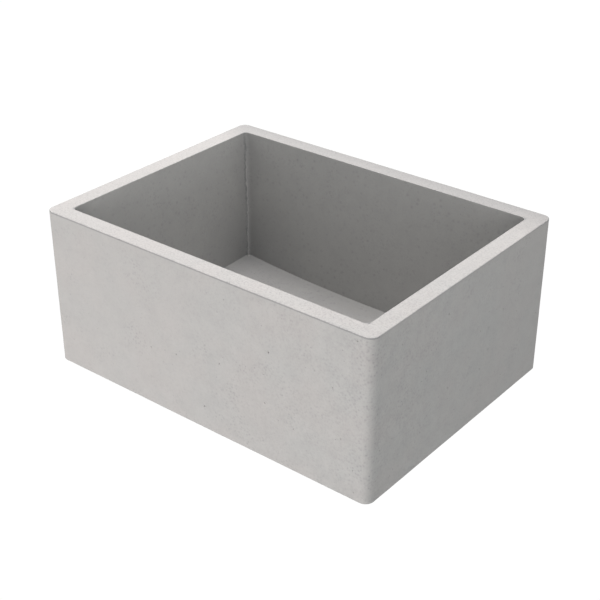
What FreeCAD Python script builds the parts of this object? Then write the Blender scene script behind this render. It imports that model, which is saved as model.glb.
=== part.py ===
import FreeCAD, Part
import Sketcher
import os

doc = FreeCAD.newDocument("farmhouse_sink")
dim = doc.addObject("Spreadsheet::Sheet", "dim")

# Driving sizes, in millimetres, with angles in degrees.
DRIVING_SIZES = [
    # the cast basin
    ("basin_length", 610, "basin, left to right"),
    ("basin_depth", 457, "basin, front to back"),
    ("basin_height", 262, "basin, underside to rim"),
    ("wall", 28.5, "wall thickness at the rim"),
    ("outer_corner", 14, "radius of the upright outer corners"),
    ("inner_corner", 8, "radius of the upright inner corners, at the rim"),
    ("wall_draft", 1, "lean of the inner walls, in degrees"),
    ("floor_thickness", 12, "floor at its lowest point, over the drain"),
    ("floor_fall_long", 14, "fall of the floor from an end wall to the drain"),
    ("floor_fall_short", 2.5, "fall of the floor from the front wall to the drain"),
    ("rim_edge", 1.2, "bevel along the rim's edges"),
    ("base_edge", 1.2, "bevel along the underside's edge"),
    # the seats cast round the drain hole
    ("seat_recess", 1.5, "depth of the flange's seat in the floor"),
    ("seat_clearance", 2, "room round the flange in its seat"),
    ("hole_clearance", 2.9, "room round the strainer in the drain hole"),
    ("spot_recess", 1.2, "depth of the locknut's spot-face in the underside"),
    ("spot_clearance", 6.7, "room round the locknut's lugs in the spot-face"),
    # sealing and clamping rings
    ("seal_thickness", 1, "bedding seal under the flange"),
    ("seal_inset", 1, "bedding seal, back from the hole and from the flange's edge"),
    ("gasket_thickness", 4, "rubber gasket under the floor"),
    ("gasket_lap", 8, "rubber gasket, reach past the drain hole"),
    ("gasket_clearance", 0.9, "room in the gasket and the friction ring for the strainer"),
    ("ring_thickness", 1, "friction ring"),
    ("ring_inset", 0.5, "friction ring, back from the gasket's edge"),
    ("locknut_height", 11, "locknut"),
    ("locknut_wall", 7.5, "locknut, width of its ring"),
    ("lug_reach", 7.5, "locknut lug, reach past the ring"),
    ("lug_width", 14, "locknut lug, width at its root"),
    ("lug_height", 8, "locknut lug"),
    ("lug_count", 6, "locknut lugs"),
    ("thread_clearance", 0.15, "room between a thread and its nut"),
    ("thread_spare", 1.5, "thread left below the locknut"),
    # the strainer body
    ("flange_lap", 12, "flange, reach past the drain hole"),
    ("flange_edge", 0.8, "flange thickness at its edge"),
    ("flange_crown", 2.4, "flange thickness at its crown"),
    ("crown_run", 5, "slope from the flange's edge to its crown"),
    ("mouth_lead", 3, "mouth, widening above the bore"),
    ("mouth_depth", 2.8, "mouth, depth below the crown"),
    ("cup_bore", 81, "bore above the ledge"),
    ("cup_wall", 1.6, "wall above the ledge, to the thread's crest"),
    ("ledge_depth", 9.5, "ledge for the basket, below the flange's underside"),
    ("ledge_width", 2.4, "ledge for the basket"),
    ("lower_wall", 2.1, "wall below the thread"),
    ("cup_bottom", 3.5, "bottom thickness"),
    ("cup_bevel", 4, "bevel under the bottom's corner"),
    ("outlet_ease", 0.45, "outlet's bore, past the tailpiece's outside"),
    ("outlet_wall", 4.4, "outlet wall, to the thread's crest"),
    ("outlet_length", 18, "outlet below the cup"),
    ("bar_gap", 4, "room between the stopper's stud and the cross bars"),
    ("bar_height", 4, "cross bars"),
    ("bar_width", 3.2, "cross bars"),
    ("bar_root", 1.5, "cross bars, run into the outlet's wall"),
    # the tailpiece and its coupling
    ("tail_diameter", 38.1, "tailpiece, outside"),
    ("tail_wall", 1.2, "tailpiece wall"),
    ("tail_length", 101.6, "tailpiece, overall"),
    ("tail_flange_inset", 1.35, "tailpiece flange, back from the outlet's thread"),
    ("tail_flange_thickness", 1.2, "tailpiece flange"),
    ("washer_thickness", 2, "tailpiece washer"),
    ("coupling_wall", 4.5, "coupling nut, wall at its flats"),
    ("coupling_thread", 10, "coupling nut, thread on the outlet"),
    ("coupling_lip", 2.5, "coupling nut, lip under the tailpiece flange"),
    ("coupling_lip_clearance", 1.15, "room round the tailpiece in the lip"),
    # the lift-out basket
    ("basket_depth", 29, "basket, below its rim"),
    ("basket_sheet", 0.8, "basket sheet"),
    ("rim_clearance", 0.4, "room round the basket's rim in the bore"),
    ("basket_clearance", 0.9, "room round the basket's wall under the ledge"),
    ("basket_bevel", 5, "bevel at the basket's bottom corner"),
    ("wall_slot_width", 4, "slots in the basket's wall"),
    ("wall_slot_top", 4.5, "slots in the basket's wall, upper end below the rim"),
    ("wall_slot_length", 16, "slots in the basket's wall"),
    ("wall_slot_count", 16, "slots in the basket's wall"),
    ("floor_slot_width", 3, "slots in the basket's floor"),
    ("floor_slot_start", 14, "slots in the basket's floor, inner end from the axis"),
    ("floor_slot_length", 14, "slots in the basket's floor"),
    ("floor_slot_count", 10, "slots in the basket's floor"),
    ("sleeve_height", 14, "sleeve above the basket's floor"),
    ("sleeve_wall", 4, "sleeve wall"),
    ("neck_wall", 1.9, "sleeve's threaded neck, wall"),
    ("neck_stub", 0.3, "sleeve's neck, past its nut"),
    ("sleeve_nut_height", 2.5, "sleeve nut"),
    ("sleeve_nut_wall", 2.95, "sleeve nut, wall at its flats"),
    ("fit_clearance", 0.1, "room round a post, stud or neck in its hole"),
    # the sliding stopper
    ("post_diameter", 8, "post"),
    ("running_clearance", 0.05, "room round the post in the sleeve"),
    ("stopper_travel", 8, "lift of the stopper"),
    ("travel_spare", 0.5, "room above the collar at full lift"),
    ("collar_reach", 3, "post collar, reach past the post"),
    ("collar_height", 1.5, "post collar"),
    ("stud_step", 1, "threaded stud, step in from the post"),
    ("stud_spare", 1, "stud past its nut"),
    ("seal_ring_height", 1.6, "seal ring on the post"),
    ("seal_ring_proud", 0.02, "seal ring, past the post"),
    ("groove_depth", 0.9, "groove of the seal ring"),
    ("groove_clearance", 0.1, "room in the groove"),
    ("groove_inset", 2, "groove, above the sleeve's lower end"),
    ("knob_gap", 0.5, "room under the knob when the stopper is down"),
    ("knob_wall", 1.9, "knob wall round the post"),
    ("knob_waist", 14, "knob, height of its waist"),
    ("knob_reach", 5, "knob head, reach past the waist"),
    ("knob_head", 7, "knob head, height"),
    ("socket_depth", 7.5, "post's socket in the knob"),
    ("socket_spare", 0.5, "room above the post in its socket"),
    ("stopper_lap", 5.5, "rubber stopper, reach past the outlet's bore"),
    ("stopper_thickness", 5, "rubber stopper"),
    ("disc_inset", 3, "stopper disc, back from the rubber's edge"),
    ("disc_thickness", 1.2, "stopper disc"),
    ("stopper_nut_height", 5, "stopper nut"),
    ("stopper_nut_wall", 1.9, "stopper nut, wall at its flats"),
]

# Radii on the drain axis.
CUP_R = "(dim.cup_bore / 2)"
THREAD_R = f"({CUP_R} + dim.cup_wall)"
HOLE_R = f"({THREAD_R} + dim.hole_clearance)"
FLANGE_R = f"({HOLE_R} + dim.flange_lap)"
GASKET_R = f"({HOLE_R} + dim.gasket_lap)"
GASKET_BORE_R = f"({THREAD_R} + dim.gasket_clearance)"
LOCKNUT_BORE_R = f"({THREAD_R} + dim.thread_clearance)"
LOCKNUT_R = f"({LOCKNUT_BORE_R} + dim.locknut_wall)"
LUG_R = f"({LOCKNUT_R} + dim.lug_reach)"
LEDGE_R = f"({CUP_R} - dim.ledge_width)"
TAIL_R = "(dim.tail_diameter / 2)"
TAIL_BORE_R = f"({TAIL_R} - dim.tail_wall)"
OUTLET_R = f"({TAIL_R} + dim.outlet_ease)"
OUTLET_THREAD_R = f"({OUTLET_R} + dim.outlet_wall)"
TAIL_FLANGE_R = f"({OUTLET_THREAD_R} - dim.tail_flange_inset)"
BASKET_R = f"({LEDGE_R} - dim.basket_clearance)"
POST_R = "(dim.post_diameter / 2)"
POST_SOCKET_R = f"({POST_R} + dim.fit_clearance)"
GROOVE_R = f"({POST_R} - dim.groove_depth)"
STUD_R = f"({POST_R} - dim.stud_step)"
STUD_HOLE_R = f"({STUD_R} + dim.fit_clearance)"
SLEEVE_BORE_R = f"({POST_R} + dim.running_clearance)"
NECK_R = f"({SLEEVE_BORE_R} + dim.neck_wall)"
NECK_HOLE_R = f"({NECK_R} + dim.fit_clearance)"
STOPPER_R = f"({OUTLET_R} + dim.stopper_lap)"

# Lengths added up along the drain axis.
NECK_LENGTH = "(dim.basket_sheet + dim.sleeve_nut_height + dim.neck_stub)"
COLLAR_TO_NECK = "(dim.stopper_travel + dim.travel_spare)"
GROOVE_RISE = f"(dim.collar_height + {COLLAR_TO_NECK} + dim.groove_inset)"
SHAFT_LENGTH = (
    f"(dim.collar_height + {COLLAR_TO_NECK} + {NECK_LENGTH} + dim.sleeve_height + dim.knob_gap)"
)
STOPPER_STACK = "(dim.stopper_thickness + dim.disc_thickness)"
STUD_DROP = "(dim.stopper_nut_height + dim.stud_spare)"
BELOW_BASKET = f"({NECK_LENGTH} - dim.basket_sheet + {COLLAR_TO_NECK} + dim.collar_height)"
CUP_DEPTH = f"(dim.ledge_depth + dim.basket_depth + {BELOW_BASKET} + {STOPPER_STACK})"
CUP_UNDERSIDE = f"({CUP_DEPTH} + dim.cup_bottom)"
OUTLET_DEPTH = f"({CUP_UNDERSIDE} + dim.outlet_length)"

# Heights above the underside of the basin.
SEAT_Z = "(dim.floor_thickness - dim.seat_recess)"
FLANGE_Z = f"({SEAT_Z} + dim.seal_thickness)"
LEDGE_Z = f"({FLANGE_Z} - dim.ledge_depth)"
BASKET_FLOOR_Z = f"({LEDGE_Z} - dim.basket_depth)"
CUP_SEAT_Z = f"({FLANGE_Z} - {CUP_DEPTH})"
COLLAR_Z = f"({CUP_SEAT_Z} + {STOPPER_STACK})"
GASKET_Z = "(dim.spot_recess - dim.gasket_thickness)"
RING_Z = f"({GASKET_Z} - dim.ring_thickness)"
LOCKNUT_Z = f"({RING_Z} - dim.locknut_height)"
OUTLET_Z = f"({FLANGE_Z} - {OUTLET_DEPTH})"
TAIL_Z = f"({OUTLET_Z} - dim.washer_thickness)"
COUPLING_Z = f"({TAIL_Z} - dim.tail_flange_thickness)"

# How near two heights lie when they are the same.
SAME_HEIGHT = 1e-3

# The size of each way to dress an edge.
EDGE_SIZE = {"Chamfer": "Size", "Fillet": "Radius"}


def fill_sheet(rows):
    """Write one driving size per row: its name, its number and what it measures."""
    for row, (alias, number, meaning) in enumerate(rows, start=1):
        dim.set(f"A{row}", alias)
        dim.set(f"B{row}", str(number))
        dim.set(f"C{row}", meaning)
        dim.setAlias(f"B{row}", alias)
    doc.recompute()


def value(formula):
    """The number that a formula of the sheet's sizes gives now."""
    return float(dim.evalExpression(formula))


def at_height(formula):
    """A test of whether a point lies at a height."""
    height = value(formula)
    return lambda point: abs(point.z - height) < SAME_HEIGHT


def new_body(label, height="0"):
    """An empty body with its own label, placed at a height on the drain axis."""
    body = doc.addObject("PartDesign::Body", label)
    body.Label = label
    body.setExpression("Placement.Base.z", height)
    return body


def new_sketch(body, name, plane, height="0"):
    """A sketch on one of the body's own origin planes, raised by a height."""
    sketch = body.newObject("Sketcher::SketchObject", name)
    support = next(f for f in body.Origin.OriginFeatures if f.Role == plane)
    sketch.AttachmentSupport = [(support, "")]
    sketch.MapMode = "FlatFace"
    sketch.setExpression("AttachmentOffset.Base.z", height)
    return sketch


def bind(sketch, constraint, formula):
    """Add a dimension to a sketch and tie it to a formula of the sheet's sizes."""
    index = sketch.addConstraint(constraint)
    sketch.setExpression(f"Constraints[{index}]", formula)


def draw_outline(sketch, corners):
    """A closed outline of straight runs, with each corner tied to two formulas."""
    points = [FreeCAD.Vector(value(x), value(y), 0) for x, y in corners]
    first = sketch.GeometryCount
    count = len(points)
    for i in range(count):
        sketch.addGeometry(Part.LineSegment(points[i], points[(i + 1) % count]), False)
    for i in range(count):
        following = first + (i + 1) % count
        sketch.addConstraint(Sketcher.Constraint("Coincident", first + i, 2, following, 1))
    for i, (x, y) in enumerate(corners):
        bind(sketch, Sketcher.Constraint("DistanceX", first + i, 1, points[i].x), x)
        bind(sketch, Sketcher.Constraint("DistanceY", first + i, 1, points[i].y), y)


def draw_circle(sketch, radius):
    """A circle round the sketch's origin."""
    circle = Part.Circle(FreeCAD.Vector(0, 0, 0), FreeCAD.Vector(0, 0, 1), value(radius))
    index = sketch.addGeometry(circle, False)
    sketch.addConstraint(Sketcher.Constraint("Coincident", index, 3, -1, 1))
    bind(sketch, Sketcher.Constraint("Radius", index, value(radius)), radius)


def draw_upright_slot(sketch, width, low, high):
    """A narrow rectangle across the sketch's upright axis, from a low end to a high end."""
    half = f"({width}) / 2"
    draw_outline(sketch, [(f"-{half}", low), (half, low), (half, high), (f"-{half}", high)])


def draw_hexagon(sketch, flats):
    """A regular hexagon round the origin, given by the distance across its flats."""
    corner = f"({flats}) / sqrt(3)"
    turns = [60 * i for i in range(6)]
    draw_outline(sketch, [(f"{corner} * cos({turn})", f"{corner} * sin({turn})") for turn in turns])


def draw_cross(sketch, reach, width):
    """A cross of two bars round the origin."""
    half = f"({width}) / 2"
    arm = [(half, f"-({half})"), (reach, f"-({half})"), (reach, half)]
    corners = list(arm)
    for _ in range(3):
        arm = [(f"-({y})", x) for x, y in arm]
        corners += arm
    draw_outline(sketch, corners)


def draw_rectangle(sketch, length, width):
    """A rectangle round the origin."""
    half_x = f"({length}) / 2"
    half_y = f"({width}) / 2"
    front = [(f"-{half_x}", f"-{half_y}"), (half_x, f"-{half_y}")]
    back = [(half_x, half_y), (f"-{half_x}", half_y)]
    draw_outline(sketch, front + back)


def turn_profile(body, corners):
    """Turn a section, given as (radius, height) corners, about the drain axis."""
    sketch = new_sketch(body, f"{body.Name}_section", "XZ_Plane")
    draw_outline(sketch, corners)
    turned = body.newObject("PartDesign::Revolution", f"{body.Name}_turned")
    turned.Profile = sketch
    turned.ReferenceAxis = (sketch, ["V_Axis"])
    turned.Angle = 360
    doc.recompute()


def pad(body, sketch, length):
    """Raise a sketch into a solid, upwards."""
    feature = body.newObject("PartDesign::Pad", f"{sketch.Name}_pad")
    feature.Profile = sketch
    feature.setExpression("Length", length)
    doc.recompute()
    return feature


def cut(body, sketch, length=None, upwards=False):
    """Cut a sketch out of its body, right through where no length is given."""
    before = body.Shape.Volume
    feature = body.newObject("PartDesign::Pocket", f"{sketch.Name}_cut")
    feature.Profile = sketch
    feature.Reversed = upwards
    if length is None:
        feature.Type = "ThroughAll"
    else:
        feature.setExpression("Length", length)
    doc.recompute()
    if body.Shape.Volume >= before:
        raise RuntimeError(f"{feature.Name} removes nothing")
    return feature


def repeat_round(body, feature, axis, count):
    """Repeat a feature at even steps round an axis of its sketch."""
    pattern = body.newObject("PartDesign::PolarPattern", f"{feature.Name}_ring")
    pattern.Originals = [feature]
    pattern.Axis = (feature.Profile[0], [axis])
    pattern.Angle = 360
    pattern.setExpression("Occurrences", count)
    body.Tip = pattern
    doc.recompute()


def dress_edges(body, name, kind, size, chosen):
    """Bevel or round the edges of the body whose middle point passes a test."""
    base = body.Tip
    names = []
    for number, edge in enumerate(base.Shape.Edges, start=1):
        middle = edge.valueAt((edge.FirstParameter + edge.LastParameter) / 2)
        if chosen(middle):
            names.append(f"Edge{number}")
    if not names:
        raise RuntimeError(f"{name} finds no edge")
    dressing = body.newObject(f"PartDesign::{kind}", name)
    dressing.Base = (base, names)
    dressing.setExpression(EDGE_SIZE[kind], size)
    doc.recompute()


def make_flat_ring(label, height, bore, radius, thickness):
    """A flat ring, standing on the height given."""
    body = new_body(label, height)
    turn_profile(body, [(bore, "0"), (radius, "0"), (radius, thickness), (bore, thickness)])
    return body


def make_hex_nut(label, height, bore, wall, thickness):
    """A plain hexagon nut, standing on the height given."""
    body = new_body(label, height)
    plan = new_sketch(body, f"{label}_plan", "XY_Plane")
    draw_hexagon(plan, f"2 * ({bore} + {wall})")
    draw_circle(plan, bore)
    pad(body, plan, thickness)
    return body


def make_bowl_space():
    """The block inside the bowl's walls, which lean outwards from the floor to the rim."""
    body = new_body("bowl_space")
    plan = new_sketch(body, "bowl_plan", "XY_Plane")
    draw_rectangle(plan, "dim.basin_length - 2 * dim.wall", "dim.basin_depth - 2 * dim.wall")
    straight = pad(body, plan, "dim.basin_height")
    middles = {f"Face{i}": f.CenterOfMass.z for i, f in enumerate(straight.Shape.Faces, start=1)}
    rim = max(middles, key=middles.get)
    base = min(middles, key=middles.get)
    lean = body.newObject("PartDesign::Draft", "bowl_lean")
    lean.Base = (straight, [name for name in middles if name not in (rim, base)])
    lean.NeutralPlane = (straight, [rim])
    lean.setExpression("Angle", "dim.wall_draft")
    lean.Reversed = True
    doc.recompute()
    if body.Shape.Volume >= straight.Shape.Volume:
        raise RuntimeError("the bowl's walls lean inwards at the rim")
    dress_edges(body, "inner_corners", "Fillet", "dim.inner_corner", at_height("dim.basin_height / 2"))
    return body


def make_bowl_dish():
    """The bowl's floor, as the underside of a ring so large that it falls gently both ways."""
    half_long = "(dim.basin_length / 2 - dim.wall)"
    half_short = "(dim.basin_depth / 2 - dim.wall)"
    radius_long = f"(({half_long} ^ 2 / dim.floor_fall_long + dim.floor_fall_long) / 2)"
    radius_short = f"(({half_short} ^ 2 / dim.floor_fall_short + dim.floor_fall_short) / 2)"
    dish = doc.addObject("Part::Torus", "bowl_dish")
    dish.setExpression("Radius1", f"{radius_short} - {radius_long}")
    dish.setExpression("Radius2", radius_long)
    on_its_side = FreeCAD.Rotation(FreeCAD.Vector(0, 1, 0), -90)
    dish.Placement = FreeCAD.Placement(FreeCAD.Vector(0, 0, 0), on_its_side)
    dish.setExpression("Placement.Base.z", f"dim.floor_thickness + {radius_short}")
    return dish


def make_basin():
    """The cast basin, with its bowl, the flange's seat, the drain hole and the spot-face."""
    block = new_body("basin_block")
    outline = new_sketch(block, "basin_outline", "XY_Plane")
    draw_rectangle(outline, "dim.basin_length", "dim.basin_depth")
    pad(block, outline, "dim.basin_height")
    at_rim = at_height("dim.basin_height")
    at_mid_height = at_height("dim.basin_height / 2")
    dress_edges(block, "outer_corners", "Fillet", "dim.outer_corner", at_mid_height)
    dress_edges(block, "outer_rim_edge", "Chamfer", "dim.rim_edge", at_rim)
    dress_edges(block, "underside_edge", "Chamfer", "dim.base_edge", at_height("0"))

    hollow = doc.addObject("Part::Common", "bowl_hollow")
    hollow.Base = make_bowl_space()
    hollow.Tool = make_bowl_dish()
    cast = doc.addObject("Part::Cut", "basin_cast")
    cast.Base = block
    cast.Tool = hollow
    doc.recompute()

    body = new_body("basin")
    body.BaseFeature = cast
    doc.recompute()
    mid_wall_x = value("(dim.basin_length - dim.wall) / 2")
    mid_wall_y = value("(dim.basin_depth - dim.wall) / 2")

    def on_inner_rim(point):
        return abs(point.x) < mid_wall_x and abs(point.y) < mid_wall_y and at_rim(point)

    dress_edges(body, "inner_rim_edge", "Chamfer", "dim.rim_edge", on_inner_rim)

    seat = new_sketch(body, "flange_seat", "XY_Plane", SEAT_Z)
    draw_circle(seat, f"{FLANGE_R} + dim.seat_clearance")
    cut(body, seat, "dim.seat_recess + dim.floor_fall_long", upwards=True)
    hole = new_sketch(body, "drain_hole", "XY_Plane")
    draw_circle(hole, HOLE_R)
    cut(body, hole, upwards=True)
    spot_face = new_sketch(body, "locknut_spot_face", "XY_Plane")
    draw_circle(spot_face, f"{LUG_R} + dim.spot_clearance")
    cut(body, spot_face, "dim.spot_recess", upwards=True)
    return body


def make_strainer_body():
    """The strainer: a crowned flange, a stepped cup and a threaded outlet with cross bars."""
    body = new_body("strainer_body", FLANGE_Z)
    lower_r = f"({LEDGE_R} + dim.lower_wall)"
    thread_end = f"({LOCKNUT_Z} - {FLANGE_Z} - dim.thread_spare)"
    turn_profile(
        body,
        [
            (FLANGE_R, "0"),
            (FLANGE_R, "dim.flange_edge"),
            (f"{FLANGE_R} - dim.crown_run", "dim.flange_crown"),
            (f"{CUP_R} + dim.mouth_lead", "dim.flange_crown"),
            (CUP_R, "dim.flange_crown - dim.mouth_depth"),
            (CUP_R, "-dim.ledge_depth"),
            (LEDGE_R, "-dim.ledge_depth"),
            (LEDGE_R, f"-{CUP_DEPTH}"),
            (OUTLET_R, f"-{CUP_DEPTH}"),
            (OUTLET_R, f"-{OUTLET_DEPTH}"),
            (OUTLET_THREAD_R, f"-{OUTLET_DEPTH}"),
            (OUTLET_THREAD_R, f"-{CUP_UNDERSIDE}"),
            (f"{lower_r} - dim.cup_bevel", f"-{CUP_UNDERSIDE}"),
            (lower_r, f"dim.cup_bevel - {CUP_UNDERSIDE}"),
            (lower_r, thread_end),
            (THREAD_R, thread_end),
            (THREAD_R, "0"),
        ],
    )
    bars_z = f"-({CUP_DEPTH} + {STUD_DROP} + dim.bar_gap + dim.bar_height)"
    bars = new_sketch(body, "cross_bars", "XY_Plane", bars_z)
    draw_cross(bars, f"{OUTLET_R} + dim.bar_root", "dim.bar_width")
    pad(body, bars, "dim.bar_height")
    return body


def make_locknut():
    """The locknut: a ring with lugs round it for turning it by hand or with a spanner."""
    body = make_flat_ring("locknut", LOCKNUT_Z, LOCKNUT_BORE_R, LOCKNUT_R, "dim.locknut_height")
    lug = new_sketch(body, "locknut_lug", "XY_Plane", "dim.locknut_height - dim.lug_height")
    root_r = f"{LOCKNUT_R} - dim.locknut_wall / 2"
    root = "dim.lug_width / 2"
    tip = "dim.lug_width / 4"
    draw_outline(lug, [(root_r, f"-{root}"), (LUG_R, f"-{tip}"), (LUG_R, tip), (root_r, root)])
    repeat_round(body, pad(body, lug, "dim.lug_height"), "N_Axis", "dim.lug_count")
    return body


def make_tailpiece():
    """The tailpiece: a straight tube hung from a flange."""
    body = new_body("tailpiece", TAIL_Z)
    turn_profile(
        body,
        [
            (TAIL_BORE_R, "0"),
            (TAIL_BORE_R, "-dim.tail_length"),
            (TAIL_R, "-dim.tail_length"),
            (TAIL_R, "-dim.tail_flange_thickness"),
            (TAIL_FLANGE_R, "-dim.tail_flange_thickness"),
            (TAIL_FLANGE_R, "0"),
        ],
    )
    return body


def make_coupling_nut():
    """The hexagon nut that draws the tailpiece up to the outlet by a lip under its flange."""
    body = new_body("coupling_nut", COUPLING_Z)
    bore = f"({OUTLET_THREAD_R} + dim.thread_clearance)"
    inside = "(dim.tail_flange_thickness + dim.washer_thickness + dim.coupling_thread)"
    plan = new_sketch(body, "coupling_nut_plan", "XY_Plane", "-dim.coupling_lip")
    draw_hexagon(plan, f"2 * ({bore} + dim.coupling_wall)")
    draw_circle(plan, f"{TAIL_R} + dim.coupling_lip_clearance")
    pad(body, plan, f"{inside} + dim.coupling_lip")
    thread = new_sketch(body, "coupling_nut_thread", "XY_Plane")
    draw_circle(thread, bore)
    cut(body, thread, inside, upwards=True)
    return body


def make_basket_cup():
    """The basket: a drawn cup with a flat rim, pierced by slots in its wall and its floor."""
    body = new_body("basket_cup", LEDGE_Z)
    rim_r = f"{CUP_R} - dim.rim_clearance"
    inside_r = f"({BASKET_R} - dim.basket_sheet)"
    floor = "-dim.basket_depth"
    floor_top = "(dim.basket_sheet - dim.basket_depth)"
    turn_profile(
        body,
        [
            (NECK_HOLE_R, floor),
            (f"{BASKET_R} - dim.basket_bevel", floor),
            (BASKET_R, f"{floor} + dim.basket_bevel"),
            (BASKET_R, "0"),
            (rim_r, "0"),
            (rim_r, "dim.basket_sheet"),
            (inside_r, "dim.basket_sheet"),
            (inside_r, f"{floor_top} + dim.basket_bevel"),
            (f"{inside_r} - dim.basket_bevel", floor_top),
            (NECK_HOLE_R, floor_top),
        ],
    )
    wall_slot = new_sketch(body, "basket_wall_slot", "XZ_Plane")
    slot_top = "-dim.wall_slot_top"
    slot_end = f"{slot_top} - dim.wall_slot_length"
    draw_upright_slot(wall_slot, "dim.wall_slot_width", slot_end, slot_top)
    repeat_round(body, cut(body, wall_slot), "V_Axis", "dim.wall_slot_count")

    floor_slot = new_sketch(body, "basket_floor_slot", "XY_Plane", floor)
    slot_start = "dim.floor_slot_start"
    slot_stop = f"{slot_start} + dim.floor_slot_length"
    draw_upright_slot(floor_slot, "dim.floor_slot_width", slot_start, slot_stop)
    pierced = cut(body, floor_slot, "2 * dim.basket_sheet", upwards=True)
    repeat_round(body, pierced, "N_Axis", "dim.floor_slot_count")
    return body


def make_basket_sleeve():
    """The sleeve that guides the post, shouldered on the basket's floor with a neck through it."""
    body = new_body("basket_sleeve", f"{BASKET_FLOOR_Z} + dim.basket_sheet")
    outside_r = f"{SLEEVE_BORE_R} + dim.sleeve_wall"
    turn_profile(
        body,
        [
            (SLEEVE_BORE_R, f"-{NECK_LENGTH}"),
            (NECK_R, f"-{NECK_LENGTH}"),
            (NECK_R, "0"),
            (outside_r, "0"),
            (outside_r, "dim.sleeve_height"),
            (SLEEVE_BORE_R, "dim.sleeve_height"),
        ],
    )
    return body


def make_stopper_post():
    """The sliding post: a stud for the stopper, a collar and a grooved shaft."""
    body = new_body("stopper_post", COLLAR_Z)
    stud_end = f"-({STOPPER_STACK} + {STUD_DROP})"
    groove_top = f"{GROOVE_RISE} + dim.seal_ring_height + dim.groove_clearance"
    collar_r = f"{POST_R} + dim.collar_reach"
    tip = f"{SHAFT_LENGTH} + dim.socket_depth - dim.socket_spare"
    turn_profile(
        body,
        [
            ("0", stud_end),
            (STUD_R, stud_end),
            (STUD_R, "0"),
            (collar_r, "0"),
            (collar_r, "dim.collar_height"),
            (POST_R, "dim.collar_height"),
            (POST_R, GROOVE_RISE),
            (GROOVE_R, GROOVE_RISE),
            (GROOVE_R, groove_top),
            (POST_R, groove_top),
            (POST_R, tip),
            ("0", tip),
        ],
    )
    return body


def make_stopper_knob():
    """The turned knob: a narrow waist under a head that fingers can catch."""
    body = new_body("stopper_knob", f"{COLLAR_Z} + {SHAFT_LENGTH}")
    waist_r = f"({POST_SOCKET_R} + dim.knob_wall)"
    head_r = f"{waist_r} + dim.knob_reach"
    top = "dim.knob_waist + dim.knob_head"
    turn_profile(
        body,
        [
            (POST_SOCKET_R, "0"),
            (waist_r, "0"),
            (waist_r, "dim.knob_waist"),
            (head_r, "dim.knob_waist"),
            (head_r, top),
            ("0", top),
            ("0", "dim.socket_depth"),
            (POST_SOCKET_R, "dim.socket_depth"),
        ],
    )
    return body


def check_document():
    """Stop if any object of the document failed to compute."""
    for obj in doc.Objects:
        if "Invalid" in obj.State or "Error" in obj.State:
            raise RuntimeError(f"{obj.Name} failed: {obj.State}")


def write_parts(parts):
    """Check each sub-part's shape and write it under its label."""
    for part in parts:
        shape = part.Shape
        if shape.isNull() or not shape.isValid() or len(shape.Solids) != 1:
            raise RuntimeError(f"{part.Label} is not one valid solid")
    os.makedirs("parts", exist_ok=True)
    for part in parts:
        part.Shape.exportStep(f"parts/{part.Label}.step")


fill_sheet(DRIVING_SIZES)
sub_parts = [
    make_basin(),
    make_flat_ring(
        "flange_seal",
        SEAT_Z,
        f"{HOLE_R} + dim.seal_inset",
        f"{FLANGE_R} - dim.seal_inset",
        "dim.seal_thickness",
    ),
    make_strainer_body(),
    make_flat_ring("rubber_gasket", GASKET_Z, GASKET_BORE_R, GASKET_R, "dim.gasket_thickness"),
    make_flat_ring(
        "friction_ring", RING_Z, GASKET_BORE_R, f"{GASKET_R} - dim.ring_inset", "dim.ring_thickness"
    ),
    make_locknut(),
    make_flat_ring("tailpiece_washer", TAIL_Z, TAIL_BORE_R, TAIL_FLANGE_R, "dim.washer_thickness"),
    make_tailpiece(),
    make_coupling_nut(),
    make_basket_cup(),
    make_basket_sleeve(),
    make_hex_nut(
        "sleeve_nut",
        f"{BASKET_FLOOR_Z} - dim.sleeve_nut_height",
        NECK_HOLE_R,
        "dim.sleeve_nut_wall",
        "dim.sleeve_nut_height",
    ),
    make_stopper_post(),
    make_flat_ring(
        "post_seal_ring",
        f"{COLLAR_Z} + {GROOVE_RISE} + dim.groove_clearance / 2",
        f"{GROOVE_R} + dim.groove_clearance / 2",
        f"{POST_R} + dim.seal_ring_proud",
        "dim.seal_ring_height",
    ),
    make_stopper_knob(),
    make_flat_ring("rubber_stopper", CUP_SEAT_Z, STUD_HOLE_R, STOPPER_R, "dim.stopper_thickness"),
    make_flat_ring(
        "stopper_disc",
        f"{CUP_SEAT_Z} + dim.stopper_thickness",
        STUD_HOLE_R,
        f"{STOPPER_R} - dim.disc_inset",
        "dim.disc_thickness",
    ),
    make_hex_nut(
        "stopper_nut",
        f"{CUP_SEAT_Z} - dim.stopper_nut_height",
        STUD_HOLE_R,
        "dim.stopper_nut_wall",
        "dim.stopper_nut_height",
    ),
]
check_document()
write_parts(sub_parts)
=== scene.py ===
"""Looks of a cast concrete farmhouse sink and its basket strainer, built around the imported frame.

Sizes are millimetres in the sink's own frame: X along the long front, Y to the back, Z up from
the underside of the basin, and the drain's axis at X = Y = 0. The bench turns them into metres.
"""

import logging
import math
import random
from abc import ABC, abstractmethod
from collections.abc import Callable, Iterable, Sequence
from dataclasses import dataclass
from enum import Enum
from functools import cached_property
from typing import ClassVar

import bpy
from mathutils import Matrix, Vector


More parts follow.
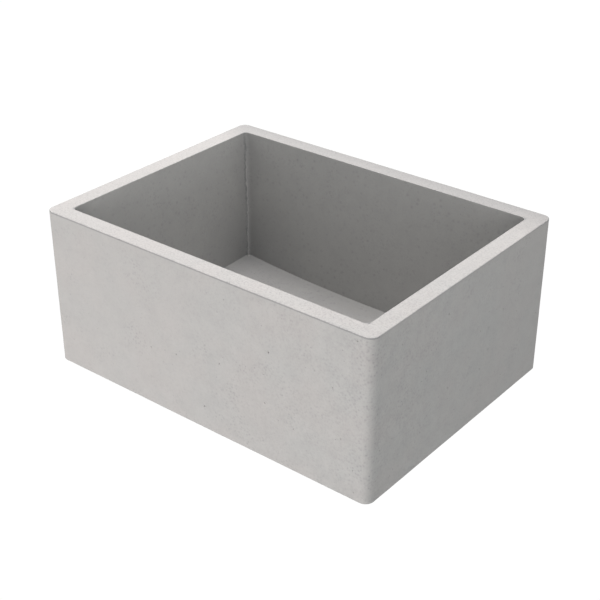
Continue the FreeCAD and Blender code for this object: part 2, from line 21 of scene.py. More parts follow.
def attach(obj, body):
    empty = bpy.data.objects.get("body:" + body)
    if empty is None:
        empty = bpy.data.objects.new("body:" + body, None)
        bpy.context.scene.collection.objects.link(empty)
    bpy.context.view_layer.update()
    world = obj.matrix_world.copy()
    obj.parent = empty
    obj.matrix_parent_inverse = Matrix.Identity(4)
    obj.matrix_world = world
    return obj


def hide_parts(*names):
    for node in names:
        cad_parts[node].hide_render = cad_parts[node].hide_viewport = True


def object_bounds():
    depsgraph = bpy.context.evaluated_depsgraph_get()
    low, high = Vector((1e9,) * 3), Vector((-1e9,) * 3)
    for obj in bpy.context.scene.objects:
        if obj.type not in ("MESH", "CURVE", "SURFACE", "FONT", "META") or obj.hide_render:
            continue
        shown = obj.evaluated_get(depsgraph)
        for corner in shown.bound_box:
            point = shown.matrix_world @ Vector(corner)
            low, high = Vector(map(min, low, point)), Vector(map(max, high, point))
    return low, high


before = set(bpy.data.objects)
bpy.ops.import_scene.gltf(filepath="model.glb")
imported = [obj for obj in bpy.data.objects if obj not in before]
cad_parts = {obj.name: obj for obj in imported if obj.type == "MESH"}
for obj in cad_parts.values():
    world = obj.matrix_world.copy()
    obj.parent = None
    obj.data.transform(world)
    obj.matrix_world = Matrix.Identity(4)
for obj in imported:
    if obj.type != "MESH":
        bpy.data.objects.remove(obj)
cad_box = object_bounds()

LOG = logging.getLogger("farmhouse_sink")
MM = 0.001

# How near two points are merged, in metres, the longest step of an arc, the least turn at a sharp edge,
# and how squarely a face looks along an axis when it is picked.
SEAM = 1e-6
ARC_STEP = math.radians(18.0)
SHARP = math.radians(60.0)
FACING = 0.9

# A thread's ridge: how far it is sunk into its stud, its half width as a share of the pitch, and the
# chords in one turn.
THREAD_SINK = 0.2
THREAD_HALF = 0.42
THREAD_STEPS = 48

# A hexagon nut: the rounding of its edges and the width of its round face as shares of the flats, and
# the fall of its chamfer over the distance out.
NUT_ROUND = 0.012
NUT_FACE = 0.97
NUT_SLOPE = 0.55

# The colour sockets of a mix node, which share their names with its number sockets.
MIX_FIRST = 6
MIX_SECOND = 7
MIX_RESULT = 2

Colour = tuple[float, float, float]
Corner = tuple[float, ...]
Place = tuple[float, float, float]
Socket = bpy.types.NodeSocket


class Body(Enum):
    """The bodies of the frame that a piece can ride on."""

    SINK = "sink"
    BASKET = "basket"
    STOPPER = "stopper"


class Pick(Enum):
    """What is selected in edit mode."""

    POINTS = "VERT"
    EDGES = "EDGE"
    FACES = "FACE"


class Axis(Enum):
    """The frame's axes, by their place in a vector."""

    X = 0
    Y = 1
    Z = 2


class Side(Enum):
    """The casting's outer faces, by the X and Y of the way that each looks."""

    FRONT = (0, -1)
    RIGHT = (1, 0)
    BACK = (0, 1)
    LEFT = (-1, 0)


class Cut(Enum):
    """What a tool does to the piece that it meets."""

    REMOVE = "DIFFERENCE"
    KEEP = "INTERSECT"
    ADD = "UNION"


def metres(values: Iterable[float]) -> Vector:
    """Returns millimetres as a vector in metres."""
    return Vector(values) * MM


def arc(centre: Vector, first: Vector, last: Vector) -> list[Corner]:
    """Points along an arc of an outline.

    Args:
        centre: of the arc.
        first: from the centre to the first point.
        last: from the centre to the last point.

    Returns:
        The points, first and last included.
    """
    start = math.atan2(first.y, first.x)
    sweep = math.remainder(math.atan2(last.y, last.x) - start, math.tau)
    steps = math.ceil(abs(sweep) / ARC_STEP)
    turns = [start + sweep * step / steps for step in range(steps + 1)]
    reach = first.length
    return [(centre.x + reach * math.cos(turn), centre.y + reach * math.sin(turn)) for turn in turns]


def rounded(corners: Sequence[Corner]) -> list[Corner]:
    """Rounds the corners of an outline.

    Args:
        corners: radius and height of each corner, and the radius of its rounding if it has one.

    Returns:
        The outline's points, with an arc for each rounding.
    """
    points: list[Corner] = []
    for index, corner in enumerate(corners):
        if len(corner) == 2:
            points.append(corner)
            continue
        here = Vector(corner[:2])
        before = (Vector(corners[index - 1][:2]) - here).normalized()
        after = (Vector(corners[(index + 1) % len(corners)][:2]) - here).normalized()
        half = before.angle(after) / 2
        run = corner[2] / math.tan(half)
        centre = here + (before + after).normalized() * corner[2] / math.sin(half)
        points += arc(centre, here + before * run - centre, here + after * run - centre)
    return points


class Bench:
    """The hand tools that shape every piece."""

    @staticmethod
    def clear() -> None:
        """Closes edit mode and lets go of everything."""
        if bpy.context.object is not None and bpy.context.object.mode != "OBJECT":
            bpy.ops.object.mode_set(mode="OBJECT")
        bpy.ops.object.select_all(action="DESELECT")

    @staticmethod
    def take(piece: bpy.types.Object) -> None:
        """Makes a piece the only one in hand.

        Args:
            piece: to take.
        """
        Bench.clear()
        piece.select_set(True)
        bpy.context.view_layer.objects.active = piece

    @staticmethod
    def fix_place(name: str) -> bpy.types.Object:
        """Names the piece in hand and moves its place and size into its mesh.

        Args:
            name: of the piece.

        Returns:
            The piece.
        """
        bpy.ops.object.transform_apply(location=True, rotation=True, scale=True)
        piece = bpy.context.object
        piece.name = name
        return piece

    @staticmethod
    def block(name: str, size: Place, centre: Place) -> bpy.types.Object:
        """Adds a rectangular block.

        Args:
            name: of the piece.
            size: along X, Y and Z.
            centre: of the block.

        Returns:
            The block.
        """
        Bench.clear()
        bpy.ops.mesh.primitive_cube_add(size=1.0, location=metres(centre))
        bpy.ops.transform.resize(value=metres(size))
        return Bench.fix_place(name)

    @staticmethod
    def open_edit(piece: bpy.types.Object, pick: Pick) -> None:
        """Opens a piece in edit mode with nothing selected.

        Args:
            piece: to open.
            pick: what will be selected.
        """
        Bench.take(piece)
        bpy.ops.object.mode_set(mode="EDIT")
        bpy.ops.mesh.select_mode(type=pick.value)
        bpy.ops.mesh.select_all(action="DESELECT")

    @staticmethod
    def pick_faces(piece: bpy.types.Object, wanted: Callable[[bpy.types.MeshPolygon], bool]) -> None:
        """Opens a piece in edit mode with some faces selected.

        Args:
            piece: to open.
            wanted: says of a face whether it is selected.
        """
        Bench.open_edit(piece, Pick.FACES)
        bpy.ops.object.mode_set(mode="OBJECT")
        for face in piece.data.polygons:
            face.select = wanted(face)
        bpy.ops.object.mode_set(mode="EDIT")

    @staticmethod
    def pick_edges(piece: bpy.types.Object, wanted: Callable[[Vector, Vector], bool]) -> None:
        """Opens a piece in edit mode with some of its sharp edges selected.

        Args:
            piece: to open.
            wanted: says of an edge's two ends, in millimetres, whether it is selected.
        """
        Bench.open_edit(piece, Pick.EDGES)
        bpy.ops.mesh.edges_select_sharp(sharpness=SHARP)
        bpy.ops.object.mode_set(mode="OBJECT")
        for other in (*piece.data.vertices, *piece.data.polygons):
            other.select = False
        points = [point.co / MM for point in piece.data.vertices]
        for edge in piece.data.edges:
            edge.select = edge.select and wanted(*(points[end] for end in edge.vertices))
        bpy.ops.object.mode_set(mode="EDIT")

    @staticmethod
    def draw(outline: Sequence[Corner]) -> None:
        """Draws an outline in the XZ plane, point by point, and leaves it open in edit mode.

        Args:
            outline: radius and height of each point.
        """
        Bench.clear()
        bpy.ops.mesh.primitive_plane_add(size=MM)
        bpy.ops.object.mode_set(mode="EDIT")
        bpy.ops.mesh.select_mode(type=Pick.POINTS.value)
        bpy.ops.mesh.merge(type="CENTER")
        bpy.ops.transform.translate(value=metres((outline[0][0], 0.0, outline[0][1])))
        for here, there in zip(outline, outline[1:]):
            step = metres((there[0] - here[0], 0.0, there[1] - here[1]))
            bpy.ops.mesh.extrude_region_move(TRANSFORM_OT_translate={"value": step})
        bpy.ops.mesh.select_all(action="SELECT")
        bpy.ops.mesh.remove_doubles(threshold=SEAM)

    @staticmethod
    def turn(name: str, corners: Sequence[Corner], ring: bool = True, steps: int = 96) -> bpy.types.Object:
        """Turns a piece on the drain's axis.

        Args:
            name: of the piece.
            corners: of its outline, each a radius, a height and perhaps a rounding.
            ring: True closes the outline on itself; False leaves its ends on the axis.
            steps: number of flats round the axis.

        Returns:
            The closed, turned piece.
        """
        outline = rounded(corners)
        Bench.draw([*outline, outline[0]] if ring else outline)
        bpy.ops.mesh.spin(steps=steps, angle=math.tau, center=(0, 0, 0), axis=(0, 0, 1))
        bpy.ops.mesh.select_all(action="SELECT")
        bpy.ops.mesh.remove_doubles(threshold=SEAM)
        bpy.ops.mesh.normals_make_consistent(inside=False)
        bpy.ops.object.mode_set(mode="OBJECT")
        return Bench.fix_place(name)

    @staticmethod
    def washer(
        name: str, bore: float, radius: float, low: float, high: float, edge: float
    ) -> bpy.types.Object:
        """Turns a flat ring with rounded edges.

        Args:
            name: of the piece.
            bore: radius of its hole.
            radius: of its rim.
            low: height of its lower face.
            high: height of its upper face.
            edge: radius of its four roundings.

        Returns:
            The ring.
        """
        corners = [(bore, low, edge), (radius, low, edge), (radius, high, edge), (bore, high, edge)]
        return Bench.turn(name, corners)

    @staticmethod
    def thread(root: float, crest: float, pitch: float, low: float, high: float) -> bpy.types.Object:
        """Winds a V thread on the drain's axis.

        Args:
            root: radius of the stud that it is wound on.
            crest: radius of the ridge's top.
            pitch: rise of one turn.
            low: height of the lower end.
            high: height of the upper end.

        Returns:
            The closed ridge, sunk a little below the root, to be joined to its stud.
        """
        sunk = root - THREAD_SINK
        start = low + pitch / 2
        half = THREAD_HALF * pitch
        ridge = [(sunk, start - half), (crest, start), (sunk, start + half), (sunk, start - half)]
        Bench.draw(ridge)
        bpy.ops.object.mode_set(mode="OBJECT")
        piece = bpy.context.object
        screw = piece.modifiers.new("wind", "SCREW")
        screw.screw_offset = pitch * MM
        screw.iterations = int((high - low - pitch) / pitch)
        screw.steps = screw.render_steps = THREAD_STEPS
        bpy.ops.object.modifier_apply(modifier=screw.name)
        bpy.ops.object.mode_set(mode="EDIT")
        bpy.ops.mesh.select_all(action="SELECT")
        bpy.ops.mesh.remove_doubles(threshold=SEAM)
        bpy.ops.mesh.fill_holes(sides=0)
        bpy.ops.mesh.normals_make_consistent(inside=False)
        bpy.ops.object.mode_set(mode="OBJECT")
        return piece

    @staticmethod
    def carve(piece: bpy.types.Object, tool: bpy.types.Object, cut: Cut = Cut.REMOVE) -> None:
        """Cuts a piece with a tool, which is used up.

        Args:
            piece: to cut.
            tool: closed mesh that cuts it.
            cut: what the tool does.
        """
        Bench.take(piece)
        step = piece.modifiers.new("carve", "BOOLEAN")
        step.operation = cut.value
        step.solver = "MANIFOLD"
        step.object = tool
        bpy.ops.object.modifier_apply(modifier=step.name)
        bpy.data.objects.remove(tool, do_unlink=True)

    @staticmethod
    def join(piece: bpy.types.Object, *others: bpy.types.Object) -> bpy.types.Object:
        """Joins other meshes into a piece.

        Args:
            piece: to join them to.
            others: that are used up.

        Returns:
            The piece.
        """
        Bench.take(piece)
        for other in others:
            other.select_set(True)
        bpy.ops.object.join()
        return piece

    @staticmethod
    def repeat_round(piece: bpy.types.Object, count: int) -> bpy.types.Object:
        """Repeats a mesh round the drain's axis.

        Args:
            piece: the first of them.
            count: how many there are in all.

        Returns:
            All of them, joined.
        """
        copies = []
        for step in range(1, count):
            Bench.take(piece)
            bpy.ops.object.duplicate()
            angle = math.tau * step / count
            bpy.ops.transform.rotate(value=angle, orient_axis="Z", center_override=(0, 0, 0))
            copies.append(Bench.fix_place(f"{piece.name}_{step}"))
        return Bench.join(piece, *copies)

    @staticmethod
    def soften(piece: bpy.types.Object, width: float, segments: int = 2, angle: float = 40.0) -> None:
        """Rounds the edges of a piece.

        Args:
            piece: to round.
            width: of the rounding.
            segments: in the rounding.
            angle: edges flatter than this, in degrees, stay.
        """
        Bench.take(piece)
        step = piece.modifiers.new("soften", "BEVEL")
        step.width = width * MM
        step.segments = segments
        step.limit_method = "ANGLE"
        step.angle_limit = math.radians(angle)
        bpy.ops.object.modifier_apply(modifier=step.name)

    @staticmethod
    def hex_nut(name: str, flats: float, low: float, high: float, bore: float) -> bpy.types.Object:
        """Makes a hexagon nut with chamfered corners.

        Args:
            name: of the piece.
            flats: size across the flats.
            low: height of its lower face.
            high: height of its upper face.
            bore: radius of its hole.

        Returns:
            The nut, with its bore cut.
        """
        corner = flats / math.sqrt(3.0)
        Bench.clear()
        middle = metres((0.0, 0.0, (low + high) / 2))
        depth = (high - low) * MM
        bpy.ops.mesh.primitive_cylinder_add(vertices=6, radius=corner * MM, depth=depth, location=middle)
        bpy.ops.transform.rotate(value=math.pi / 6, orient_axis="Z", center_override=middle)
        nut = Bench.fix_place(name)
        Bench.soften(nut, NUT_ROUND * flats)
        reach = 1.0
        face = NUT_FACE * flats / 2
        inner, outer = face - reach / NUT_SLOPE, corner + reach
        fall = (outer - face) * NUT_SLOPE
        blank = [
            (0.0, low - reach),
            (inner, low - reach),
            (outer, low + fall),
            (outer, high - fall),
            (inner, high + reach),
            (0.0, high + reach),
        ]
        Bench.carve(nut, Bench.turn("nut_blank", blank, ring=False), Cut.KEEP)
        drill = [(0.0, low - reach), (bore, low - reach), (bore, high + reach), (0.0, high + reach)]
        Bench.carve(nut, Bench.turn("nut_drill", drill, ring=False))
        return nut

    @staticmethod
    def smooth(piece: bpy.types.Object, angle: float = 32.0) -> None:
        """Shades a piece smooth, with sharp edges kept crisp and flat faces kept flat.

        Args:
            piece: to shade.
            angle: edges sharper than this, in degrees, stay crisp.
        """
        Bench.take(piece)
        bpy.ops.object.shade_smooth_by_angle(angle=math.radians(angle))
        step = piece.modifiers.new("flatten", "WEIGHTED_NORMAL")
        step.keep_sharp = True
        bpy.ops.object.modifier_apply(modifier=step.name)


@dataclass(frozen=True)
class Ramp:
    """A span of values, and the span that it is mapped to."""

    start: float
    end: float
    least: float = 0.0
    most: float = 1.0


@dataclass(frozen=True)
class Clouds:
    """A cloudy pattern: clouds per metre, octaves of finer ones and the weight of those."""

    scale: float
    detail: float = 3.0
    weight: float = 0.5


@dataclass(frozen=True)
class Spots:
    """Scattered spots: how many per metre, and how much of one shows at a distance from its middle."""

    scale: float
    share: Ramp


@dataclass(frozen=True)
class Mottle:
    """A cloudy pattern with a pale and a dark side."""

    clouds: Clouds
    pale: Ramp
    dark: Ramp


@dataclass(frozen=True)
class Relief:
    """A bump: its strength, and the depth in millimetres of a height of 1."""

    strength: float
    depth: float


class Board:
    """Lays out the nodes of one procedural material."""

    def __init__(self, name: str) -> None:
        """Starts a material with its shader and the piece's own coordinates.

        Args:
            name: of the material.
        """
        self.material = bpy.data.materials.new(name)
        self.material.use_nodes = True
        self.tree = self.material.node_tree
        self.shader = self.tree.nodes["Principled BSDF"]
        self.place = self.add("ShaderNodeTexCoord").outputs["Object"]

    def add(self, kind: str, **settings: object) -> bpy.types.Node:
        """Adds a node.

        Args:
            kind: of the node.
            settings: that differ from the node's own.

        Returns:
            The node.
        """
        node = self.tree.nodes.new(kind)
        for key, setting in settings.items():
            setattr(node, key, setting)
        return node

    def feed(self, socket: Socket, value: object) -> None:
        """Puts something into a socket.

        Args:
            socket: of a node.
            value: a number, a colour or another node's output.
        """
        if isinstance(value, Socket):
            self.tree.links.new(value, socket)
        elif isinstance(value, tuple) and len(value) == 3 and socket.type == "RGBA":
            socket.default_value = (*value, 1.0)
        else:
            socket.default_value = value

    def set(self, **values: object) -> None:
        """Feeds the shader's sockets; an underscore in a key stands for a space."""
        for key, value in values.items():
            self.feed(self.shader.inputs[key.replace("_", " ")], value)

    @cached_property
    def axes(self) -> tuple[Socket, Socket, Socket]:
        """Takes the piece's coordinates apart, on first use.

        Returns:
            Its own X, Y and Z, in millimetres.
        """
        scale = self.add("ShaderNodeVectorMath", operation="SCALE")
        self.feed(scale.inputs["Vector"], self.place)
        scale.inputs["Scale"].default_value = 1.0 / MM
        node = self.add("ShaderNodeSeparateXYZ")
        self.feed(node.inputs["Vector"], scale.outputs["Vector"])
        return node.outputs["X"], node.outputs["Y"], node.outputs["Z"]

    def stretch(self, scale: Place) -> Socket:
        """Stretches the piece's coordinates.

        Args:
            scale: along X, Y and Z.

        Returns:
            The stretched coordinates.
        """
        node = self.add("ShaderNodeMapping")
        self.feed(node.inputs["Vector"], self.place)
        node.inputs["Scale"].default_value = scale
        return node.outputs["Vector"]

    def rings(self, fine: float, coarse: float) -> Socket:
        """Lays coordinates along the marks that a lathe leaves.

        Args:
            fine: marks per millimetre of radius or height.
            coarse: changes of a mark per millimetre across the piece.

        Returns:
            The coordinates.
        """
        along, back, up = self.axes
        node = self.add("ShaderNodeCombineXYZ")
        self.feed(node.inputs["X"], self.times(self.reach(along, back), fine))
        self.feed(node.inputs["Y"], self.times(up, fine))
        self.feed(node.inputs["Z"], self.times(along, coarse))
        return node.outputs["Vector"]

    def noise(self, clouds: Clouds, along: Socket | None = None) -> Socket:
        """Adds a cloudy pattern.

        Args:
            clouds: its sizes.
            along: coordinates, if not the piece's own.

        Returns:
            A value about 0.5.
        """
        node = self.add("ShaderNodeTexNoise")
        self.feed(node.inputs["Vector"], along or self.place)
        node.inputs["Scale"].default_value = clouds.scale
        node.inputs["Detail"].default_value = clouds.detail
        node.inputs["Roughness"].default_value = clouds.weight
        return node.outputs["Fac"]

    def dots(self, spots: Spots) -> Socket:
        """Scatters spots.

        Args:
            spots: their number and look.

        Returns:
            How much of a spot is at a place.
        """
        node = self.add("ShaderNodeTexVoronoi")
        self.feed(node.inputs["Vector"], self.place)
        node.inputs["Scale"].default_value = spots.scale
        return self.fade(node.outputs["Distance"], spots.share)

    def fade(self, value: Socket, ramp: Ramp) -> Socket:
        """Maps a value along a ramp.

        Args:
            value: to map.
            ramp: that holds it to its ends.

        Returns:
            The mapped value.
        """
        node = self.add("ShaderNodeMapRange")
        self.feed(node.inputs["Value"], value)
        node.inputs["From Min"].default_value = ramp.start
        node.inputs["From Max"].default_value = ramp.end
        node.inputs["To Min"].default_value = ramp.least
        node.inputs["To Max"].default_value = ramp.most
        return node.outputs["Result"]

    def reckon(self, operation: str, *values: object) -> Socket:
        """Reckons with values.

        Args:
            operation: of the node that does it.
            values: sockets or numbers.

        Returns:
            The result.
        """
        node = self.add("ShaderNodeMath", operation=operation)
        for socket, value in zip(node.inputs, values):
            self.feed(socket, value)
        return node.outputs["Value"]

    def size_of(self, value: Socket) -> Socket:
        """Returns a value without its sign."""
        return self.reckon("ABSOLUTE", value)

    def plus(self, first: object, second: object) -> Socket:
        """Returns the sum of two values."""
        return self.reckon("ADD", first, second)

    def minus(self, first: object, second: object) -> Socket:
        """Returns the first value less the second."""
        return self.reckon("SUBTRACT", first, second)

    def larger(self, first: object, second: object) -> Socket:
        """Returns the larger of two values."""
        return self.reckon("MAXIMUM", first, second)

    def times(self, first: object, *others: object) -> Socket:
        """Multiplies values.

        Args:
            first: of the values.
            others: that it is multiplied by.

        Returns:
            The product.
        """
        product = first
        for other in others:
            product = self.reckon("MULTIPLY", product, other)
        return product

    def reach(self, first: Socket, *others: Socket) -> Socket:
        """Measures the straight way over sides that are square to each other.

        Args:
            first: of the sides.
            others: of the sides.

        Returns:
            The distance.
        """
        total = self.reckon("POWER", self.size_of(first), 2.0)
        for other in others:
            total = self.plus(total, self.reckon("POWER", self.size_of(other), 2.0))
        return self.reckon("POWER", total, 0.5)

    def blend(self, share: Socket, first: object, second: object) -> Socket:
        """Blends two colours.

        Args:
            share: of the second.
            first: colour.
            second: colour.

        Returns:
            The blend.
        """
        node = self.add("ShaderNodeMix", data_type="RGBA")
        self.feed(node.inputs["Factor"], share)
        self.feed(node.inputs[MIX_FIRST], first)
        self.feed(node.inputs[MIX_SECOND], second)
        return node.outputs[MIX_RESULT]

    def relief(self, height: Socket, relief: Relief, below: Socket | None = None) -> Socket:
        """Turns a height into a bump.

        Args:
            height: of the relief, from 0 to 1.
            relief: how deep it is.
            below: a coarser bump that this one lies on.

        Returns:
            The bumped normal.
        """
        node = self.add("ShaderNodeBump")
        self.feed(node.inputs["Height"], height)
        node.inputs["Strength"].default_value = relief.strength
        node.inputs["Distance"].default_value = relief.depth * MM
        if below is not None:
            self.feed(node.inputs["Normal"], below)
        return node.outputs["Normal"]


class Finish(ABC):
    """A finish named for its slot in the record."""

    slot: str

    def material(self) -> bpy.types.Material:
        """Returns the finish's material, made on first use."""
        found = bpy.data.materials.get(f"finish_{self.slot}")
        return found or self.mix(Board(f"finish_{self.slot}"))

    @abstractmethod
    def mix(self, board: Board) -> bpy.types.Material:
        """Lays the finish out on a board and returns its material."""


@dataclass(frozen=True)
class CastingSizes:
    """The basin's sizes that its shape and its finish share."""

    length: float = 610.0
    depth: float = 457.0
    height: float = 262.0
    wall: float = 28.5
    draft: float = 1.0
    inner_corner: float = 8.0
    floor: float = 12.0
    dish_along: float = 14.0
    dish_across: float = 2.5

    @property
    def half_length(self) -> float:
        """Half the length over all."""
        return self.length / 2

    @property
    def half_depth(self) -> float:
        """Half the depth over all."""
        return self.depth / 2

    @property
    def inner_half_length(self) -> float:
        """Half the bowl's length at the rim."""
        return self.half_length - self.wall

    @property
    def inner_half_depth(self) -> float:
        """Half the bowl's depth at the rim."""
        return self.half_depth - self.wall

    @property
    def wall_slope(self) -> float:
        """How far the drafted walls come in for each millimetre down."""
        return math.tan(math.radians(self.draft))

    @property
    def floor_corner(self) -> float:
        """Height of the dished floor at the bowl's corners."""
        return self.floor + self.dish_along + self.dish_across


CASTING = CastingSizes()


@dataclass(frozen=True)
class ConcreteFinish(Finish):
    """Pale cast concrete: warm and cool clouds, sand grain and dark specks, with painted light and shade:
    a paler rim top, a dark line under the rim's outer edge, a darker back rim, a cool tint over the bowl
    and darker bowl corners.

    Ramps over a place or a distance are millimetres.
    """

    slot: str = "cast_concrete"
    warm: Colour = (0.3805, 0.3675, 0.3575)
    cool: Colour = (0.3665, 0.3665, 0.3585)
    # Pale sand, also used for the painted light on the rim's top.
    pale_sand_and_light: Colour = (0.45, 0.44, 0.428)
    # Dark specks, also used for the painted shade.
    dark_speck_and_shade: Colour = (0.165, 0.17, 0.174)
    specular: float = 0.25

    clouds: Clouds = Clouds(14.0, 4.0, 0.55)
    cloud_share: Ramp = Ramp(0.38, 0.62)
    # A cool tint painted over the whole bowl, as painted shade inside it.
    bowl_shade_tint: Ramp = Ramp(0.0, 1.0, 0.0, 0.75)
    coarseness: Ramp = Ramp(100.0, 530.0, 0.42, 0.75)
    blots: Mottle = Mottle(
        Clouds(46.0, 3.0, 0.6), pale=Ramp(0.5, 0.72, 0.0, 0.32), dark=Ramp(0.5, 0.3, 0.0, 0.12)
    )
    grain: Mottle = Mottle(
        Clouds(330.0, 3.0, 0.55), pale=Ramp(0.52, 0.78, 0.0, 0.4), dark=Ramp(0.48, 0.24, 0.0, 0.3)
    )
    # Grit on the rim's top; its pale side outweighs its dark one, so the top is painted paler as painted
    # light.
    rim_grit_and_light: Mottle = Mottle(
        Clouds(400.0, 2.0, 0.6), pale=Ramp(0.42, 0.7, 0.0, 0.48), dark=Ramp(0.48, 0.28, 0.0, 0.3)
    )

    stains: Spots = Spots(85.0, Ramp(0.08, 0.3, 0.2, 0.0))
    stain_patches: Ramp = Ramp(0.0, 1.0, 0.35, 1.3)
    fine_specks: Spots = Spots(190.0, Ramp(0.05, 0.45, 0.34, 0.0))
    coarse_specks: Spots = Spots(60.0, Ramp(0.03, 0.085, 0.75, 0.0))
    speck_patches: Clouds = Clouds(24.0, 2.0, 0.5)
    patch_growth: Ramp = Ramp(0.5, 0.75, 0.0, 0.1)
    patch_share: Ramp = Ramp(0.5, 0.72)
    rim_specks: Ramp = Ramp(-4.0, -1.5, 1.0, 0.25)

    rim_top: Ramp = Ramp(-1.0, -0.5)
    # Painted shade on the back rim, growing towards its outer edge.
    back_run: Ramp = Ramp(-55.0, 0.0)
    back_shade: Ramp = Ramp(0.0, CASTING.wall, 0.25, 0.44)
    # A painted line of shade just under the rim's outer edge.
    edge_shade_ends: Ramp = Ramp(-15.0, -14.5, 0.0, 0.2)
    edge_shade_sides: Ramp = Ramp(-15.0, -14.5, 0.0, 0.5)
    edge_shade_rise: Ramp = Ramp(-2.9, -2.1)
    edge_shade_fall: Ramp = Ramp(-0.6, -0.1, 1.0, 0.0)

    bowl_edge: Ramp = Ramp(0.5, 1.5, 1.0, 0.0)
    bowl_rise: Ramp = Ramp(3.0, 6.0)
    # Painted shade along the bowl's uprights and into its lower corners.
    upright_shade: Ramp = Ramp(5.0, 45.0, 0.22, 0.0)
    low_corner_shade: Ramp = Ramp(20.0, 150.0, 0.4, 0.0)

    seam_wander: Clouds = Clouds(110.0, 2.0, 0.6)
    seam_waver: Ramp = Ramp(0.25, 0.75, -2.5, 2.5)
    seam_start: Ramp = Ramp(-9.0, -7.0)
    seam_stop: Ramp = Ramp(3.0, 4.0, 1.0, 0.0)
    seam_breaks: Clouds = Clouds(70.0, 2.0, 0.6)
    seam_stretch: Place = (0.2, 0.2, 1.0)
    flank_width: Ramp = Ramp(4.0, 7.0, 1.0, 0.0)
    flank_side: Ramp = Ramp(-1.0, 1.5, 0.12, 1.0)
    flank_breaks: Ramp = Ramp(0.35, 0.6, 0.25, 0.75)
    line_width: Ramp = Ramp(0.6, 1.6, 1.0, 0.0)
    line_depth: Ramp = Ramp(42.0, 62.0, 0.1, 0.65)

    gloss: Ramp = Ramp(0.3, 0.7, 0.74, 0.9)
    blot_relief: Relief = Relief(0.2, 1.0)
    grain_relief: Relief = Relief(0.3, 0.4)
    speck_relief: Relief = Relief(0.2, 0.4)

    def mix(self, board: Board) -> bpy.types.Material:
        """Lays the finish out.

        Args:
            board: to lay it out on.

        Returns:
            The finish's material.
        """
        along, back, _ = board.axes
        near = board.fade(board.minus(along, back), self.coarseness)
        bowl = self.bowl_share(board)
        clouds = board.fade(board.noise(self.clouds), self.cloud_share)
        # The bowl is painted cooler overall as painted shade, besides the random cool clouds.
        cool = board.larger(board.times(clouds, near), board.fade(bowl, self.bowl_shade_tint))
        colour = board.blend(cool, self.warm, self.cool)
        blots, colour = self.mottle(board, self.blots, near, colour)
        grain, colour = self.mottle(board, self.grain, near, colour)
        patches = board.fade(clouds, self.stain_patches)
        colour = board.blend(board.times(board.dots(self.stains), bowl, patches), colour, self.dark_speck_and_shade)
        specks = self.speck_share(board, near)
        colour = board.blend(specks, colour, self.dark_speck_and_shade)
        # Painted shade: a dark line just under the rim's outer edge.
        colour = board.blend(self.rim_edge_shade(board), colour, self.dark_speck_and_shade)
        # Painted light on the rim's top and painted shade on its back.
        colour = self.rim_colour(board, colour)
        # Painted shade along the bowl's uprights and in its lower corners.
        colour = board.blend(self.painted_corner_shade(board, bowl), colour, self.dark_speck_and_shade)
        bump = board.relief(grain, self.grain_relief, board.relief(blots, self.blot_relief))
        bump = board.relief(board.minus(grain, specks), self.speck_relief, bump)
        board.set(
            Base_Color=self.seam_colour(board, colour),
            Roughness=board.fade(grain, self.gloss),
            Specular_IOR_Level=self.specular,
            Normal=bump,
        )
        return board.material

    def mottle(self, board: Board, mottle: Mottle, where: Socket, colour: Socket) -> tuple[Socket, Socket]:
        """Mottles a colour with sand and specks.

        Args:
            board: that the finish is laid out on.
            mottle: the pattern.
            where: how much of it there is at a place.
            colour: of the concrete.

        Returns:
            The pattern and the mottled colour.
        """
        pattern = board.noise(mottle.clouds)
        pale = board.times(board.fade(pattern, mottle.pale), where)
        dark = board.times(board.fade(pattern, mottle.dark), where)
        return pattern, board.blend(dark, board.blend(pale, colour, self.pale_sand_and_light), self.dark_speck_and_shade)

    def speck_share(self, board: Board, near: Socket) -> Socket:
        """Returns how much of a dark speck is at a place.

        Args:
            board: that the finish is laid out on.
            near: how coarse the mix is there.

        Returns:
            The share: in patches, more where the mix is coarse and less on the rim.
        """
        _, _, up = board.axes
        patches = board.plus(board.noise(self.speck_patches), board.fade(near, self.patch_growth))
        fine = board.times(board.dots(self.fine_specks), board.fade(patches, self.patch_share))
        coarse = board.times(board.dots(self.coarse_specks), near)
        from_top = board.minus(up, CASTING.height)
        return board.times(board.larger(fine, coarse), board.fade(from_top, self.rim_specks))

    def rim_colour(self, board: Board, colour: Socket) -> Socket:
        """Paints light onto the rim's top, which is mottled with grit and painted paler, and paints shade
        onto its back, darker towards the outer edge.

        Args:
            board: that the finish is laid out on.
            colour: of the concrete.

        Returns:
            The colour with the rim's.
        """
        _, back, up = board.axes
        on_top = board.fade(board.minus(up, CASTING.height), self.rim_top)
        # Grit, with the top painted paler as painted light.
        _, colour = self.mottle(board, self.rim_grit_and_light, on_top, colour)
        # Painted shade: the back rim darkened towards its outer edge.
        past_bowl = board.minus(back, CASTING.inner_half_depth)
        shade = board.times(board.fade(past_bowl, self.back_shade), board.fade(past_bowl, self.back_run))
        return board.blend(board.times(shade, on_top), colour, self.dark_speck_and_shade)

    def rim_edge_shade(self, board: Board) -> Socket:
        """Paints a thin line of shade just under the rim's outer edge, along its rounded arris.

        Args:
            board: that the finish is laid out on.

        Returns:
            How dark the painted shade line is at a place.
        """
        along, back, up = board.axes
        past_end = board.minus(board.size_of(along), CASTING.half_length)
        past_side = board.minus(board.size_of(back), CASTING.half_depth)
        from_top = board.minus(up, CASTING.height)
        ends = board.fade(past_end, self.edge_shade_ends)
        sides = board.fade(past_side, self.edge_shade_sides)
        band = board.times(board.fade(from_top, self.edge_shade_rise), board.fade(from_top, self.edge_shade_fall))
        return board.times(band, board.larger(ends, sides))

